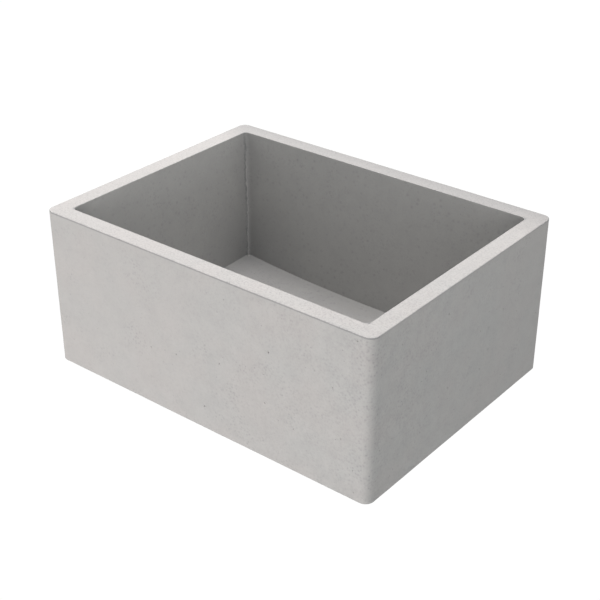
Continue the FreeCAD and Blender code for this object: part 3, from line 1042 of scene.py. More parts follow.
    def from_bowl(self, board: Board) -> tuple[Socket, Socket, Socket]:
        """Measures from the bowl's outline at the rim.

        Args:
            board: that the finish is laid out on.

        Returns:
            The ways out past its end and side walls, and up from its floor's corners.
        """
        along, back, up = board.axes
        end = board.minus(board.size_of(along), CASTING.inner_half_length)
        side = board.minus(board.size_of(back), CASTING.inner_half_depth)
        return end, side, board.minus(up, CASTING.floor_corner)

    def bowl_share(self, board: Board) -> Socket:
        """Tells the bowl from the rest of the casting.

        Args:
            board: that the finish is laid out on.

        Returns:
            1 on the bowl's walls and floor, and 0 elsewhere.
        """
        _, _, up = board.axes
        end, side, _ = self.from_bowl(board)
        inside = board.fade(board.larger(end, side), self.bowl_edge)
        return board.times(inside, board.fade(up, self.bowl_rise))

    def painted_corner_shade(self, board: Board, bowl: Socket) -> Socket:
        """Paints shade into the bowl along its four uprights and towards its lower corners.

        Args:
            board: that the finish is laid out on.
            bowl: 1 in the bowl.

        Returns:
            How much painted shade is at a place.
        """
        end, side, low = self.from_bowl(board)
        upright = board.fade(board.reach(end, side), self.upright_shade)
        low_shade = board.fade(board.reach(end, side, low), self.low_corner_shade)
        return board.times(board.larger(upright, low_shade), bowl)

    def seam_colour(self, board: Board, colour: Socket) -> Socket:
        """Draws the broken pale seam with a dark flank down each inner corner.

        Args:
            board: that the finish is laid out on.
            colour: of the concrete.

        Returns:
            The colour with the seams.
        """
        along, back, up = board.axes
        depth = board.minus(CASTING.height, up)
        lean = board.times(depth, CASTING.wall_slope)
        inset = CASTING.inner_corner * (1.0 - math.sqrt(0.5))
        end = board.plus(board.size_of(along), lean)
        end = board.minus(end, CASTING.inner_half_length - inset)
        side = board.plus(board.size_of(back), lean)
        side = board.minus(side, CASTING.inner_half_depth - inset)
        waver = board.fade(board.noise(self.seam_wander), self.seam_waver)
        sideways = board.plus(board.minus(end, side), waver)
        across = board.size_of(sideways)
        outwards = board.plus(end, side)
        here = board.times(board.fade(outwards, self.seam_start), board.fade(outwards, self.seam_stop))
        breaks = board.noise(self.seam_breaks, board.stretch(self.seam_stretch))
        flank = board.times(board.fade(across, self.flank_width), board.fade(sideways, self.flank_side))
        flank = board.times(flank, board.fade(breaks, self.flank_breaks))
        line = board.times(board.fade(across, self.line_width), board.fade(depth, self.line_depth))
        colour = board.blend(board.times(flank, here), colour, self.dark_speck_and_shade)
        return board.blend(board.times(line, here), colour, self.pale_sand_and_light)


@dataclass(frozen=True)
class MetalFinish(Finish):
    """A metal with its own tint, turning marks and smudges."""

    slot: str
    tint: Colour
    shade: Colour
    roughness: float
    marks: Relief = Relief(0.15, 0.02)
    pits: Relief | None = None
    smudges: Clouds = Clouds(45.0, 1.0, 0.4)
    smudge_share: Ramp = Ramp(0.25, 0.75)
    ring_marks: Clouds = Clouds(1.0, 2.0, 0.5)
    ring_spacing: tuple[float, float] = (1.8, 0.03)
    pitting: Clouds = Clouds(900.0, 2.0, 0.6)
    gloss_span: tuple[float, float] = (0.1, 0.9)
    swing: float = 0.25

    def mix(self, board: Board) -> bpy.types.Material:
        """Lays the finish out.

        Args:
            board: to lay it out on.

        Returns:
            The finish's material.
        """
        smudges = board.noise(self.smudges)
        swing = self.roughness * self.swing
        gloss = Ramp(*self.gloss_span, self.roughness - swing, self.roughness + swing)
        bump = board.relief(board.noise(self.ring_marks, board.rings(*self.ring_spacing)), self.marks)
        if self.pits:
            bump = board.relief(board.noise(self.pitting), self.pits, bump)
        board.set(
            Base_Color=board.blend(board.fade(smudges, self.smudge_share), self.tint, self.shade),
            Metallic=1.0,
            Roughness=board.fade(smudges, gloss),
            Normal=bump,
        )
        return board.material


@dataclass(frozen=True)
class MouldedFinish(Finish):
    """Rubber, plastic, board or putty: two shades in clouds, with a fine surface grain."""

    slot: str
    light: Colour
    dark: Colour
    roughness: float
    specular: float = 0.4
    weave: Place = (1.0, 1.0, 1.0)
    clouds: Clouds = Clouds(60.0, 4.0, 0.6)
    cloud_share: Ramp = Ramp(0.35, 0.68)
    grain: Clouds = Clouds(1500.0, 2.0, 0.6)
    grain_share: Ramp = Ramp(0.5, 0.8, 0.0, 0.3)
    grain_relief: Relief = Relief(0.4, 0.08)
    gloss_span: tuple[float, float] = (0.3, 0.7)
    swing: float = 0.06

    def mix(self, board: Board) -> bpy.types.Material:
        """Lays the finish out.

        Args:
            board: to lay it out on.

        Returns:
            The finish's material.
        """
        along = board.stretch(self.weave)
        clouds = board.noise(self.clouds, along)
        grain = board.noise(self.grain, along)
        colour = board.blend(board.fade(clouds, self.cloud_share), self.dark, self.light)
        gloss = Ramp(*self.gloss_span, self.roughness - self.swing, self.roughness + self.swing)
        board.set(
            Base_Color=board.blend(board.fade(grain, self.grain_share), colour, self.light),
            Roughness=board.fade(clouds, gloss),
            Specular_IOR_Level=self.specular,
            Normal=board.relief(grain, self.grain_relief),
        )
        return board.material


CAST_CONCRETE = ConcreteFinish()
BEDDING_PUTTY = MouldedFinish("bedding_putty", (0.6, 0.55, 0.45), (0.48, 0.43, 0.35), 0.75)
SATIN_STEEL = MetalFinish("satin_steel", (0.62, 0.61, 0.59), (0.55, 0.54, 0.53), 0.3)
BRIGHT_STEEL = MetalFinish("bright_steel", (0.68, 0.67, 0.66), (0.6, 0.6, 0.59), 0.18)
BLACK_RUBBER = MouldedFinish("black_rubber", (0.045, 0.045, 0.044), (0.018, 0.018, 0.018), 0.62)
FIBRE_BOARD = MouldedFinish(
    "fibre_board", (0.34, 0.24, 0.15), (0.2, 0.135, 0.08), 0.86, 0.15, (1.0, 3.5, 1.0)
)
CAST_BRASS = MetalFinish(
    "cast_brass", (0.68, 0.5, 0.24), (0.52, 0.37, 0.17), 0.34, pits=Relief(0.35, 0.25)
)
WHITE_POLY = MouldedFinish("white_poly", (0.82, 0.82, 0.79), (0.74, 0.74, 0.71), 0.4)
CHROMED_TUBE = MetalFinish(
    "chromed_tube", (0.78, 0.79, 0.8), (0.7, 0.71, 0.72), 0.09, Relief(0.05, 0.01)
)
CHROMED_KNOB = MetalFinish(
    "chromed_knob", (0.8, 0.81, 0.82), (0.72, 0.73, 0.74), 0.07, Relief(0.04, 0.01)
)


class SubAssembly(ABC):
    """A group of pieces that ride on one body."""

    body: ClassVar[Body]

    @abstractmethod
    def build(self) -> list[bpy.types.Object]:
        """Builds and dresses the pieces and returns them."""

    def hand_over(self, piece: bpy.types.Object, node: str, finish: Finish) -> bpy.types.Object:
        """Dresses a piece and puts it in the place of its CAD node.

        Args:
            piece: the finished mesh.
            node: that it stands for.
            finish: that it wears.

        Returns:
            The piece.
        """
        Bench.smooth(piece)
        piece.data.materials.clear()
        piece.data.materials.append(finish.material())
        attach(piece, self.body.value)
        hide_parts(node)
        return piece


@dataclass(frozen=True)
class DrainSizes:
    """Where neighbouring pieces of the drain meet: heights if named top or low, and otherwise radii."""

    flange: float = 57.0
    flange_low: float = 11.5
    seat_low: float = 10.5
    cup: float = 40.5
    ledge: float = 38.1
    ledge_top: float = 2.0
    cup_floor_top: float = -46.0
    thread: float = 42.1
    gasket_top: float = 1.2
    gasket_low: float = -2.8
    slip_ring_low: float = -3.8
    outlet: float = 19.5
    outlet_thread: float = 23.9
    outlet_low: float = -67.5
    tail_bore: float = 17.85
    tail_flange: float = 22.55
    tail_top: float = -69.5
    tail_flange_low: float = -70.7
    basket_low: float = -27.0
    post: float = 4.0
    collar_low: float = -39.8
    disc_low: float = -41.0


DRAIN = DrainSizes()


@dataclass
class Basin(SubAssembly):
    """The casting: a thick-walled box with a drafted bowl, a dished floor and a drain hole."""

    body: ClassVar[Body] = Body.SINK
    outer_corner: float = 14.0
    corner_steps: int = 8
    rim_arris: float = 1.2
    bowl_arris: float = 1.0
    base_arris: float = 0.5
    arris_steps: int = 4
    grid: float = 12.0
    grid_low: float = 40.0
    slack: float = 1.0
    unevenness: float = 0.5
    mould_clouds: float = 90.0
    seat: float = 59.0
    hole: float = 45.0
    spot_face: float = 63.95
    cutter_reach: float = 20.0
    cutter_steps: int = 128
    air_holes: int = 190
    air_hole_seed: int = 24
    air_hole_sides: tuple[Side, ...] = (Side.FRONT,) * 4 + (Side.RIGHT,) * 3 + (Side.BACK, Side.LEFT)
    air_hole_inset: float = 18.0
    air_hole_edge: float = 8.0
    air_hole_gap: float = 6.0
    air_hole_least: float = 0.45
    air_hole_growth: float = 1.3
    air_hole_skew: int = 4
    air_hole_squash: float = 0.15
    sparse_share: float = 0.1
    dense_reach: float = 150.0

    def build(self) -> list[bpy.types.Object]:
        """Builds and dresses the pieces.

        Returns:
            The pieces.
        """
        casting = self.box()
        self.round_uprights(casting)
        self.round_arrises(casting)
        self.lay_grid(casting)
        self.dish_floor(casting)
        self.unsettle(casting)
        self.cut_drain(casting)
        Bench.carve(casting, self.air_hole_tool())
        return [self.hand_over(casting, "basin", CAST_CONCRETE)]

    def lean(self, height: float) -> float:
        """How far the drafted walls have come in at a height."""
        return (CASTING.height - height) * CASTING.wall_slope

    def box(self) -> bpy.types.Object:
        """Insets the top of a block and sinks the bowl.

        Returns:
            The block.
        """
        size = (CASTING.length, CASTING.depth, CASTING.height)
        casting = Bench.block("basin_casting", size, (0.0, 0.0, CASTING.height / 2))
        Bench.pick_faces(casting, lambda face: face.normal.z > FACING)
        bpy.ops.mesh.inset(thickness=CASTING.wall * MM)
        sink = metres((0.0, 0.0, CASTING.floor - CASTING.height))
        bpy.ops.mesh.extrude_region_move(TRANSFORM_OT_translate={"value": sink})
        come_in = self.lean(CASTING.floor)
        shrink = (1 - come_in / CASTING.inner_half_length, 1 - come_in / CASTING.inner_half_depth, 1.0)
        bpy.ops.transform.resize(value=shrink, center_override=(0, 0, 0))
        Bench.clear()
        return casting

    def is_outside(self, point: Vector) -> bool:
        """True for a point that lies beyond the bowl's outline."""
        past_end = abs(point.x) - CASTING.inner_half_length
        return max(past_end, abs(point.y) - CASTING.inner_half_depth) > self.slack

    def round_uprights(self, casting: bpy.types.Object) -> None:
        """Rounds the four outer and four inner upright corners.

        Args:
            casting: to round.
        """
        rise = CASTING.height / 2
        for radius, outer in ((self.outer_corner, True), (CASTING.inner_corner, False)):
            Bench.pick_edges(
                casting, lambda a, b: abs(a.z - b.z) > rise and self.is_outside(a) == outer
            )
            bpy.ops.mesh.bevel(offset=radius * MM, segments=self.corner_steps, affect="EDGES")
        Bench.clear()

    def round_arrises(self, casting: bpy.types.Object) -> None:
        """Takes the sharpness off the rim's outer and inner edges and the base's edge.

        Args:
            casting: to round.
        """
        top, middle = CASTING.height - self.slack, CASTING.height / 2
        edges = (
            (self.rim_arris, lambda point: point.z > top and self.is_outside(point)),
            (self.bowl_arris, lambda point: point.z > top and not self.is_outside(point)),
            (self.base_arris, lambda point: point.z < middle and self.is_outside(point)),
        )
        for width, wanted in edges:
            Bench.pick_edges(casting, lambda a, b: wanted(a) and wanted(b))
            bpy.ops.mesh.bevel(offset=width * MM, segments=self.arris_steps, affect="EDGES")
        Bench.clear()

    def lay_grid(self, casting: bpy.types.Object) -> None:
        """Cuts the faces into a grid that the floor's dish and the unevenness can bend.

        Args:
            casting: to cut.
        """
        corner = CASTING.inner_corner + self.lean(CASTING.floor) + self.slack
        along, across = CASTING.inner_half_length - corner, CASTING.inner_half_depth - corner
        reaches = (
            (Vector((1, 0, 0)), -along, along),
            (Vector((0, 1, 0)), -across, across),
            (Vector((0, 0, 1)), self.grid_low, CASTING.height - self.grid),
        )
        Bench.open_edit(casting, Pick.FACES)
        for direction, low, high in reaches:
            cuts = round((high - low) / self.grid)
            for step in range(cuts + 1):
                bpy.ops.mesh.select_all(action="SELECT")
                place = direction * (low + (high - low) * step / cuts) * MM
                bpy.ops.mesh.bisect(plane_co=place, plane_no=direction)
        Bench.clear()

    def floor_height(self, x: float, y: float) -> float:
        """Works out the height of the dished floor.

        Args:
            x: place along the length.
            y: place along the depth.

        Returns:
            The height above the underside.
        """
        long_arc = (CASTING.inner_half_length**2 / CASTING.dish_along + CASTING.dish_along) / 2
        short_arc = (CASTING.inner_half_depth**2 / CASTING.dish_across + CASTING.dish_across) / 2
        across = short_arc - long_arc + math.sqrt(long_arc**2 - x**2)
        return CASTING.floor + short_arc - math.sqrt(across**2 - y**2)

    def dish_floor(self, casting: bpy.types.Object) -> None:
        """Lifts the floor's points to the dish, and moves them out along the drafted walls.

        Args:
            casting: to dish.
        """
        low = self.lean(CASTING.floor)
        for point in casting.data.vertices:
            x, y, z = point.co / MM
            if abs(z - CASTING.floor) > self.slack or self.is_outside(point.co / MM):
                continue
            rise = self.floor_height(x, y)
            lean = self.lean(rise)
            x *= (CASTING.inner_half_length - lean) / (CASTING.inner_half_length - low)
            y *= (CASTING.inner_half_depth - lean) / (CASTING.inner_half_depth - low)
            point.co = metres((x, y, rise))

    def unsettle(self, casting: bpy.types.Object) -> None:
        """Gives the faces the slight unevenness of a hand-made mould.

        Args:
            casting: to unsettle.
        """
        clouds = bpy.data.textures.new("mould_clouds", "CLOUDS")
        clouds.noise_scale = self.mould_clouds * MM
        Bench.take(casting)
        step = casting.modifiers.new("unevenness", "DISPLACE")
        step.texture = clouds
        step.texture_coords = "LOCAL"
        step.strength = self.unevenness * MM
        bpy.ops.object.modifier_apply(modifier=step.name)

    def cut_drain(self, casting: bpy.types.Object) -> None:
        """Cuts the flange's seat, the drain hole and the flat under the gasket.

        Args:
            casting: to cut.
        """
        above, below = CASTING.floor + self.cutter_reach, -self.cutter_reach
        corners = [
            (0.0, above),
            (self.seat, above),
            (self.seat, DRAIN.seat_low),
            (self.hole, DRAIN.seat_low),
            (self.hole, DRAIN.gasket_top),
            (self.spot_face, DRAIN.gasket_top),
            (self.spot_face, below),
            (0.0, below),
        ]
        Bench.carve(casting, Bench.turn("drain_cutter", corners, ring=False, steps=self.cutter_steps))

    def air_hole_spot(self, draw: random.Random) -> tuple[Vector, Place]:
        """Draws a place on an outer face.

        Args:
            draw: where the random numbers come from.

        Returns:
            The place, and how an air hole there is squashed.
        """
        half_x, half_y = CASTING.half_length, CASTING.half_depth
        x, y = draw.choice(self.air_hole_sides).value
        along = draw.uniform(-1.0, 1.0)
        up = draw.uniform(self.air_hole_edge, CASTING.height - self.air_hole_edge)
        run_x = along * (half_x - self.air_hole_inset) * abs(y)
        run_y = along * (half_y - self.air_hole_inset) * abs(x)
        squash = (1.0 - self.air_hole_squash * abs(x), 1.0 - self.air_hole_squash * abs(y), 1.0)
        return Vector((half_x * x + run_x, half_y * y + run_y, up)), squash

    def air_hole_tool(self) -> bpy.types.Object:
        """Scatters small squashed balls over the outer faces, most of them round one corner.

        Returns:
            The balls, joined to one tool.
        """
        draw = random.Random(self.air_hole_seed)
        balls: list[bpy.types.Object] = []
        spots: list[Vector] = []
        while len(balls) < self.air_holes:
            spot, squash = self.air_hole_spot(draw)
            from_corner = (spot - Vector((CASTING.half_length, -CASTING.half_depth, spot.z))).length
            dense_share = (1.0 - self.sparse_share) * math.exp(-from_corner / self.dense_reach)
            if draw.random() > self.sparse_share + dense_share:
                continue
            radius = self.air_hole_least + self.air_hole_growth * draw.random() ** self.air_hole_skew
            if any((spot - other).length < self.air_hole_gap for other in spots):
                continue
            spots.append(spot)
            Bench.clear()
            bpy.ops.mesh.primitive_ico_sphere_add(subdivisions=1, radius=radius * MM, location=spot * MM)
            bpy.ops.transform.resize(value=squash)
            balls.append(Bench.fix_place(f"air_{len(balls)}"))
        return Bench.join(*balls)


@dataclass
class StrainerFitting(SubAssembly):
    """The strainer's body in its bed of putty."""

    body: ClassVar[Body] = Body.SINK
    body_steps: int = 112
    putty_bore: float = 46.0
    bead: float = 0.7
    mouth: float = 43.5
    mouth_low: float = 11.1
    mouth_round: float = 0.7
    crown: float = 52.0
    crown_top: float = 13.9
    crown_round: float = 8.0
    flange_edge: float = 0.8
    edge_round: float = 0.35
    cup_wall: float = 40.2
    cup_low: float = -49.5
    cup_round: float = 3.8
    fillet: float = 1.0
    thread_low: float = -16.3
    thread_top: float = 6.0
    thread_depth: float = 0.9
    thread_pitch: float = 2.1
    thread_lead: float = 0.6
    outlet_thread_top: float = -52.0
    outlet_pitch: float = 2.2
    bar_length: float = 40.4
    bar_width: float = 3.2
    bar_height: float = 4.0
    bar_middle: float = -58.0
    bar_round: float = 0.7

    def build(self) -> list[bpy.types.Object]:
        """Builds and dresses the pieces.

        Returns:
            The pieces.
        """
        return [
            self.hand_over(self.seal(), "flange_seal", BEDDING_PUTTY),
            self.hand_over(self.strainer(), "strainer_body", SATIN_STEEL),
        ]

    def seal(self) -> bpy.types.Object:
        """Makes the putty bed with the bead that squeezes out past the flange.

        Returns:
            The putty.
        """
        out, top = DRAIN.flange + 2 * self.bead, DRAIN.seat_low + 2 * self.bead
        corners = [
            (self.putty_bore, DRAIN.flange_low),
            (self.putty_bore, DRAIN.seat_low),
            (out, DRAIN.seat_low, self.bead),
            (out, top, self.bead),
            (DRAIN.flange, top, self.edge_round),
            (DRAIN.flange, DRAIN.flange_low),
        ]
        return Bench.turn("putty_bed", corners)

    def strainer(self) -> bpy.types.Object:
        """Makes the strainer's body with its threads and cross bars.

        Returns:
            The body.
        """
        root = DRAIN.thread - self.thread_depth
        outlet_root = DRAIN.outlet_thread - self.thread_depth
        corners = [
            (self.mouth, self.crown_top, self.mouth_round),
            (DRAIN.cup, self.mouth_low, self.mouth_round),
            (DRAIN.cup, DRAIN.ledge_top),
            (DRAIN.ledge, DRAIN.ledge_top),
            (DRAIN.ledge, DRAIN.cup_floor_top, self.fillet),
            (DRAIN.outlet, DRAIN.cup_floor_top, self.fillet),
            (DRAIN.outlet, DRAIN.outlet_low),
            (outlet_root, DRAIN.outlet_low),
            (outlet_root, self.cup_low, self.fillet),
            (self.cup_wall, self.cup_low, self.cup_round),
            (self.cup_wall, self.thread_low),
            (root, self.thread_low + self.thread_lead),
            (root, DRAIN.flange_low),
            (DRAIN.flange, DRAIN.flange_low, self.edge_round),
            (DRAIN.flange, DRAIN.flange_low + self.flange_edge, self.edge_round),
            (self.crown, self.crown_top, self.crown_round),
        ]
        body = Bench.turn("strainer_shell", corners, steps=self.body_steps)
        low, outlet_low = self.thread_low + self.thread_lead, DRAIN.outlet_low + self.thread_lead
        outlet_top = self.outlet_thread_top
        threads = (
            Bench.thread(root, DRAIN.thread, self.thread_pitch, low, self.thread_top),
            Bench.thread(outlet_root, DRAIN.outlet_thread, self.outlet_pitch, outlet_low, outlet_top),
        )
        return Bench.join(body, *self.bars(), *threads)

    def bars(self) -> list[bpy.types.Object]:
        """Makes the cross that keeps cutlery out of the outlet.

        Returns:
            Its two bars.
        """
        bars = []
        for length, width in ((self.bar_length, self.bar_width), (self.bar_width, self.bar_length)):
            bar = Bench.block("outlet_bar", (length, width, self.bar_height), (0.0, 0.0, self.bar_middle))
            Bench.soften(bar, self.bar_round, segments=3)
            bars.append(bar)
        return bars


@dataclass
class ClampStack(SubAssembly):
    """What clamps the strainer to the underside of the basin."""

    body: ClassVar[Body] = Body.SINK
    gasket: float = 53.0
    gasket_bore: float = 43.0
    gasket_round: float = 1.0
    slip_ring: float = 52.5
    slip_ring_round: float = 0.2
    locknut: float = 49.75
    locknut_bore: float = 42.25
    locknut_low: float = -14.8
    locknut_round: float = 0.8
    lugs: int = 6
    lug: float = 57.25
    lug_root: float = 48.0
    lug_width: float = 14.0
    lug_height: float = 8.0
    lug_taper: float = 0.5
    lug_round: float = 0.7

    def build(self) -> list[bpy.types.Object]:
        """Builds and dresses the pieces.

        Returns:
            The pieces.
        """
        low, top = DRAIN.gasket_low, DRAIN.gasket_top
        gasket = Bench.washer("sealing_gasket", self.gasket_bore, self.gasket, low, top, self.gasket_round)
        ring_low, ring_top = DRAIN.slip_ring_low, DRAIN.gasket_low
        ring = Bench.washer(
            "slip_ring", self.gasket_bore, self.slip_ring, ring_low, ring_top, self.slip_ring_round
        )
        return [
            self.hand_over(gasket, "rubber_gasket", BLACK_RUBBER),
            self.hand_over(ring, "friction_ring", FIBRE_BOARD),
            self.hand_over(self.lugged_nut(), "locknut", CAST_BRASS),
        ]

    def lugged_nut(self) -> bpy.types.Object:
        """Makes the clamping ring with its driving lugs.

        Returns:
            The nut.
        """
        top = DRAIN.slip_ring_low
        nut = Bench.washer(
            "lugged_locknut", self.locknut_bore, self.locknut, self.locknut_low, top, self.locknut_round
        )
        middle = top - self.lug_height / 2
        size = (self.lug - self.lug_root, self.lug_width, self.lug_height)
        lug = Bench.block("lug", size, ((self.lug + self.lug_root) / 2, 0.0, middle))
        Bench.pick_faces(lug, lambda face: face.normal.x > FACING)
        end = metres((self.lug, 0.0, middle))
        bpy.ops.transform.resize(value=(1.0, self.lug_taper, 1.0), center_override=end)
        Bench.clear()
        Bench.soften(lug, self.lug_round, segments=3)
        Bench.carve(nut, Bench.repeat_round(lug, self.lugs), Cut.ADD)
        return nut


@dataclass
class Outlet(SubAssembly):
    """The tailpiece and what joins it to the strainer."""

    body: ClassVar[Body] = Body.SINK
    washer_round: float = 0.35
    tail: float = 19.05
    tail_low: float = -171.1
    tail_round: float = 0.5
    coupling_flats: float = 57.1
    coupling_bore: float = 24.05
    coupling_top: float = -57.5
    coupling_low: float = -73.2
    coupling_lead: float = 1.0
    lip_bore: float = 20.2

    def build(self) -> list[bpy.types.Object]:
        """Builds and dresses the pieces.

        Returns:
            The pieces.
        """
        washer = Bench.washer(
            "outlet_washer",
            DRAIN.tail_bore,
            DRAIN.tail_flange,
            DRAIN.tail_top,
            DRAIN.outlet_low,
            self.washer_round,
        )
        return [
            self.hand_over(washer, "tailpiece_washer", WHITE_POLY),
            self.hand_over(self.tailpiece(), "tailpiece", CHROMED_TUBE),
            self.hand_over(self.coupling(), "coupling_nut", CHROMED_TUBE),
        ]

    def tailpiece(self) -> bpy.types.Object:
        """Makes the tube with the flange that hangs in the coupling.

        Returns:
            The tube.
        """
        edge = self.tail_round
        corners = [
            (DRAIN.tail_bore, DRAIN.tail_top, edge),
            (DRAIN.tail_flange, DRAIN.tail_top, edge),
            (DRAIN.tail_flange, DRAIN.tail_flange_low, edge),
            (self.tail, DRAIN.tail_flange_low, edge),
            (self.tail, self.tail_low, edge),
            (DRAIN.tail_bore, self.tail_low, edge),
        ]
        return Bench.turn("flanged_tailpiece", corners)

    def coupling(self) -> bpy.types.Object:
        """Makes the hexagon coupling with the lip that holds the tailpiece's flange.

        Returns:
            The coupling.
        """
        top, lead = self.coupling_top, self.coupling_lead
        nut = Bench.hex_nut("outlet_coupling", self.coupling_flats, self.coupling_low, top, self.lip_bore)
        corners = [
            (0.0, top + lead),
            (self.coupling_bore + 2 * lead, top + lead),
            (self.coupling_bore, top - lead),
            (self.coupling_bore, DRAIN.tail_flange_low),
            (0.0, DRAIN.tail_flange_low),
        ]
        Bench.carve(nut, Bench.turn("coupling_drill", corners, ring=False))
        return nut


@dataclass
class Basket(SubAssembly):
    """The pierced cup that lifts out, with the sleeve that guides the stopper's post."""

    body: ClassVar[Body] = Body.BASKET
    cup_steps: int = 128
    rim: float = 40.1
    wall: float = 37.2
    sheet: float = 0.8
    edge_round: float = 0.35
    bend: float = 5.6
    floor_hole: float = 6.0
    wall_slots: int = 16
    wall_slot: Place = (6.0, 4.0, 16.0)
    wall_slot_middle: Place = (36.8, 0.0, -10.5)
    floor_slots: int = 10
    floor_slot: Place = (14.0, 3.0, 6.0)
    floor_slot_middle: Place = (21.0, 0.0, -26.6)
    slot_round: float = 0.49
    slot_steps: int = 5
    sleeve_steps: int = 64
    sleeve: float = 8.05
    sleeve_neck: float = 5.95
    sleeve_play: float = 0.05
    sleeve_top: float = -12.2
    sleeve_low: float = -29.8
    sleeve_round: float = 0.4
    nut_flats: float = 18.0
    nut_low: float = -29.5

    def build(self) -> list[bpy.types.Object]:
        """Builds and dresses the pieces.

        Returns:
            The pieces.
        """
        nut = Bench.hex_nut("guide_nut", self.nut_flats, self.nut_low, DRAIN.basket_low, self.floor_hole)
        return [
            self.hand_over(self.cup(), "basket_cup", SATIN_STEEL),
            self.hand_over(self.guide(), "basket_sleeve", BRIGHT_STEEL),
            self.hand_over(nut, "sleeve_nut", BRIGHT_STEEL),
        ]

    def slot_tool(self, size: Place, middle: Place, across: Axis, count: int) -> bpy.types.Object:
        """Makes the cutter for a round of round-ended slots.

        Args:
            size: of a slot's cutter along X, Y and Z.
            middle: of the first slot.
            across: axis that the first slot is cut along.
            count: of the slots.

        Returns:
            The cutter.
        """
        tool = Bench.block("slot_cutter", size, middle)
        reach = size[across.value] / 2
        Bench.pick_edges(tool, lambda a, b: abs(a[across.value] - b[across.value]) > reach)
        rounding = self.slot_round * size[Axis.Y.value]
        bpy.ops.mesh.bevel(offset=rounding * MM, segments=self.slot_steps, affect="EDGES")
        Bench.clear()
        return Bench.repeat_round(tool, count)

    def cup(self) -> bpy.types.Object:
        """Makes the drawn cup with its rim and pierces it.

        Returns:
            The cup.
        """
        inside, floor = self.wall - self.sheet, DRAIN.basket_low + self.sheet
        rim_top = DRAIN.ledge_top + self.sheet
        corners = [
            (self.rim, DRAIN.ledge_top, self.edge_round),
            (self.rim, rim_top, self.edge_round),
            (inside, rim_top, self.sheet),
            (inside, floor, self.bend - self.sheet),
            (self.floor_hole, floor),
            (self.floor_hole, DRAIN.basket_low),
            (self.wall, DRAIN.basket_low, self.bend),
            (self.wall, DRAIN.ledge_top, self.edge_round),
        ]
        cup = Bench.turn("pierced_cup", corners, steps=self.cup_steps)
        Bench.carve(cup, self.slot_tool(self.wall_slot, self.wall_slot_middle, Axis.X, self.wall_slots))
        Bench.carve(cup, self.slot_tool(self.floor_slot, self.floor_slot_middle, Axis.Z, self.floor_slots))
        return cup

    def guide(self) -> bpy.types.Object:
        """Makes the sleeve, with a shoulder on the basket's floor and a neck through it.

        Returns:
            The sleeve.
        """
        bore, edge = DRAIN.post + self.sleeve_play, self.sleeve_round
        shoulder = DRAIN.basket_low + self.sheet
        corners = [
            (bore, self.sleeve_top, edge),
            (self.sleeve, self.sleeve_top, edge),
            (self.sleeve, shoulder, edge),
            (self.sleeve_neck, shoulder),
            (self.sleeve_neck, self.sleeve_low, edge),
            (bore, self.sleeve_low, edge),
        ]
        return Bench.turn("guide_sleeve", corners, steps=self.sleeve_steps)


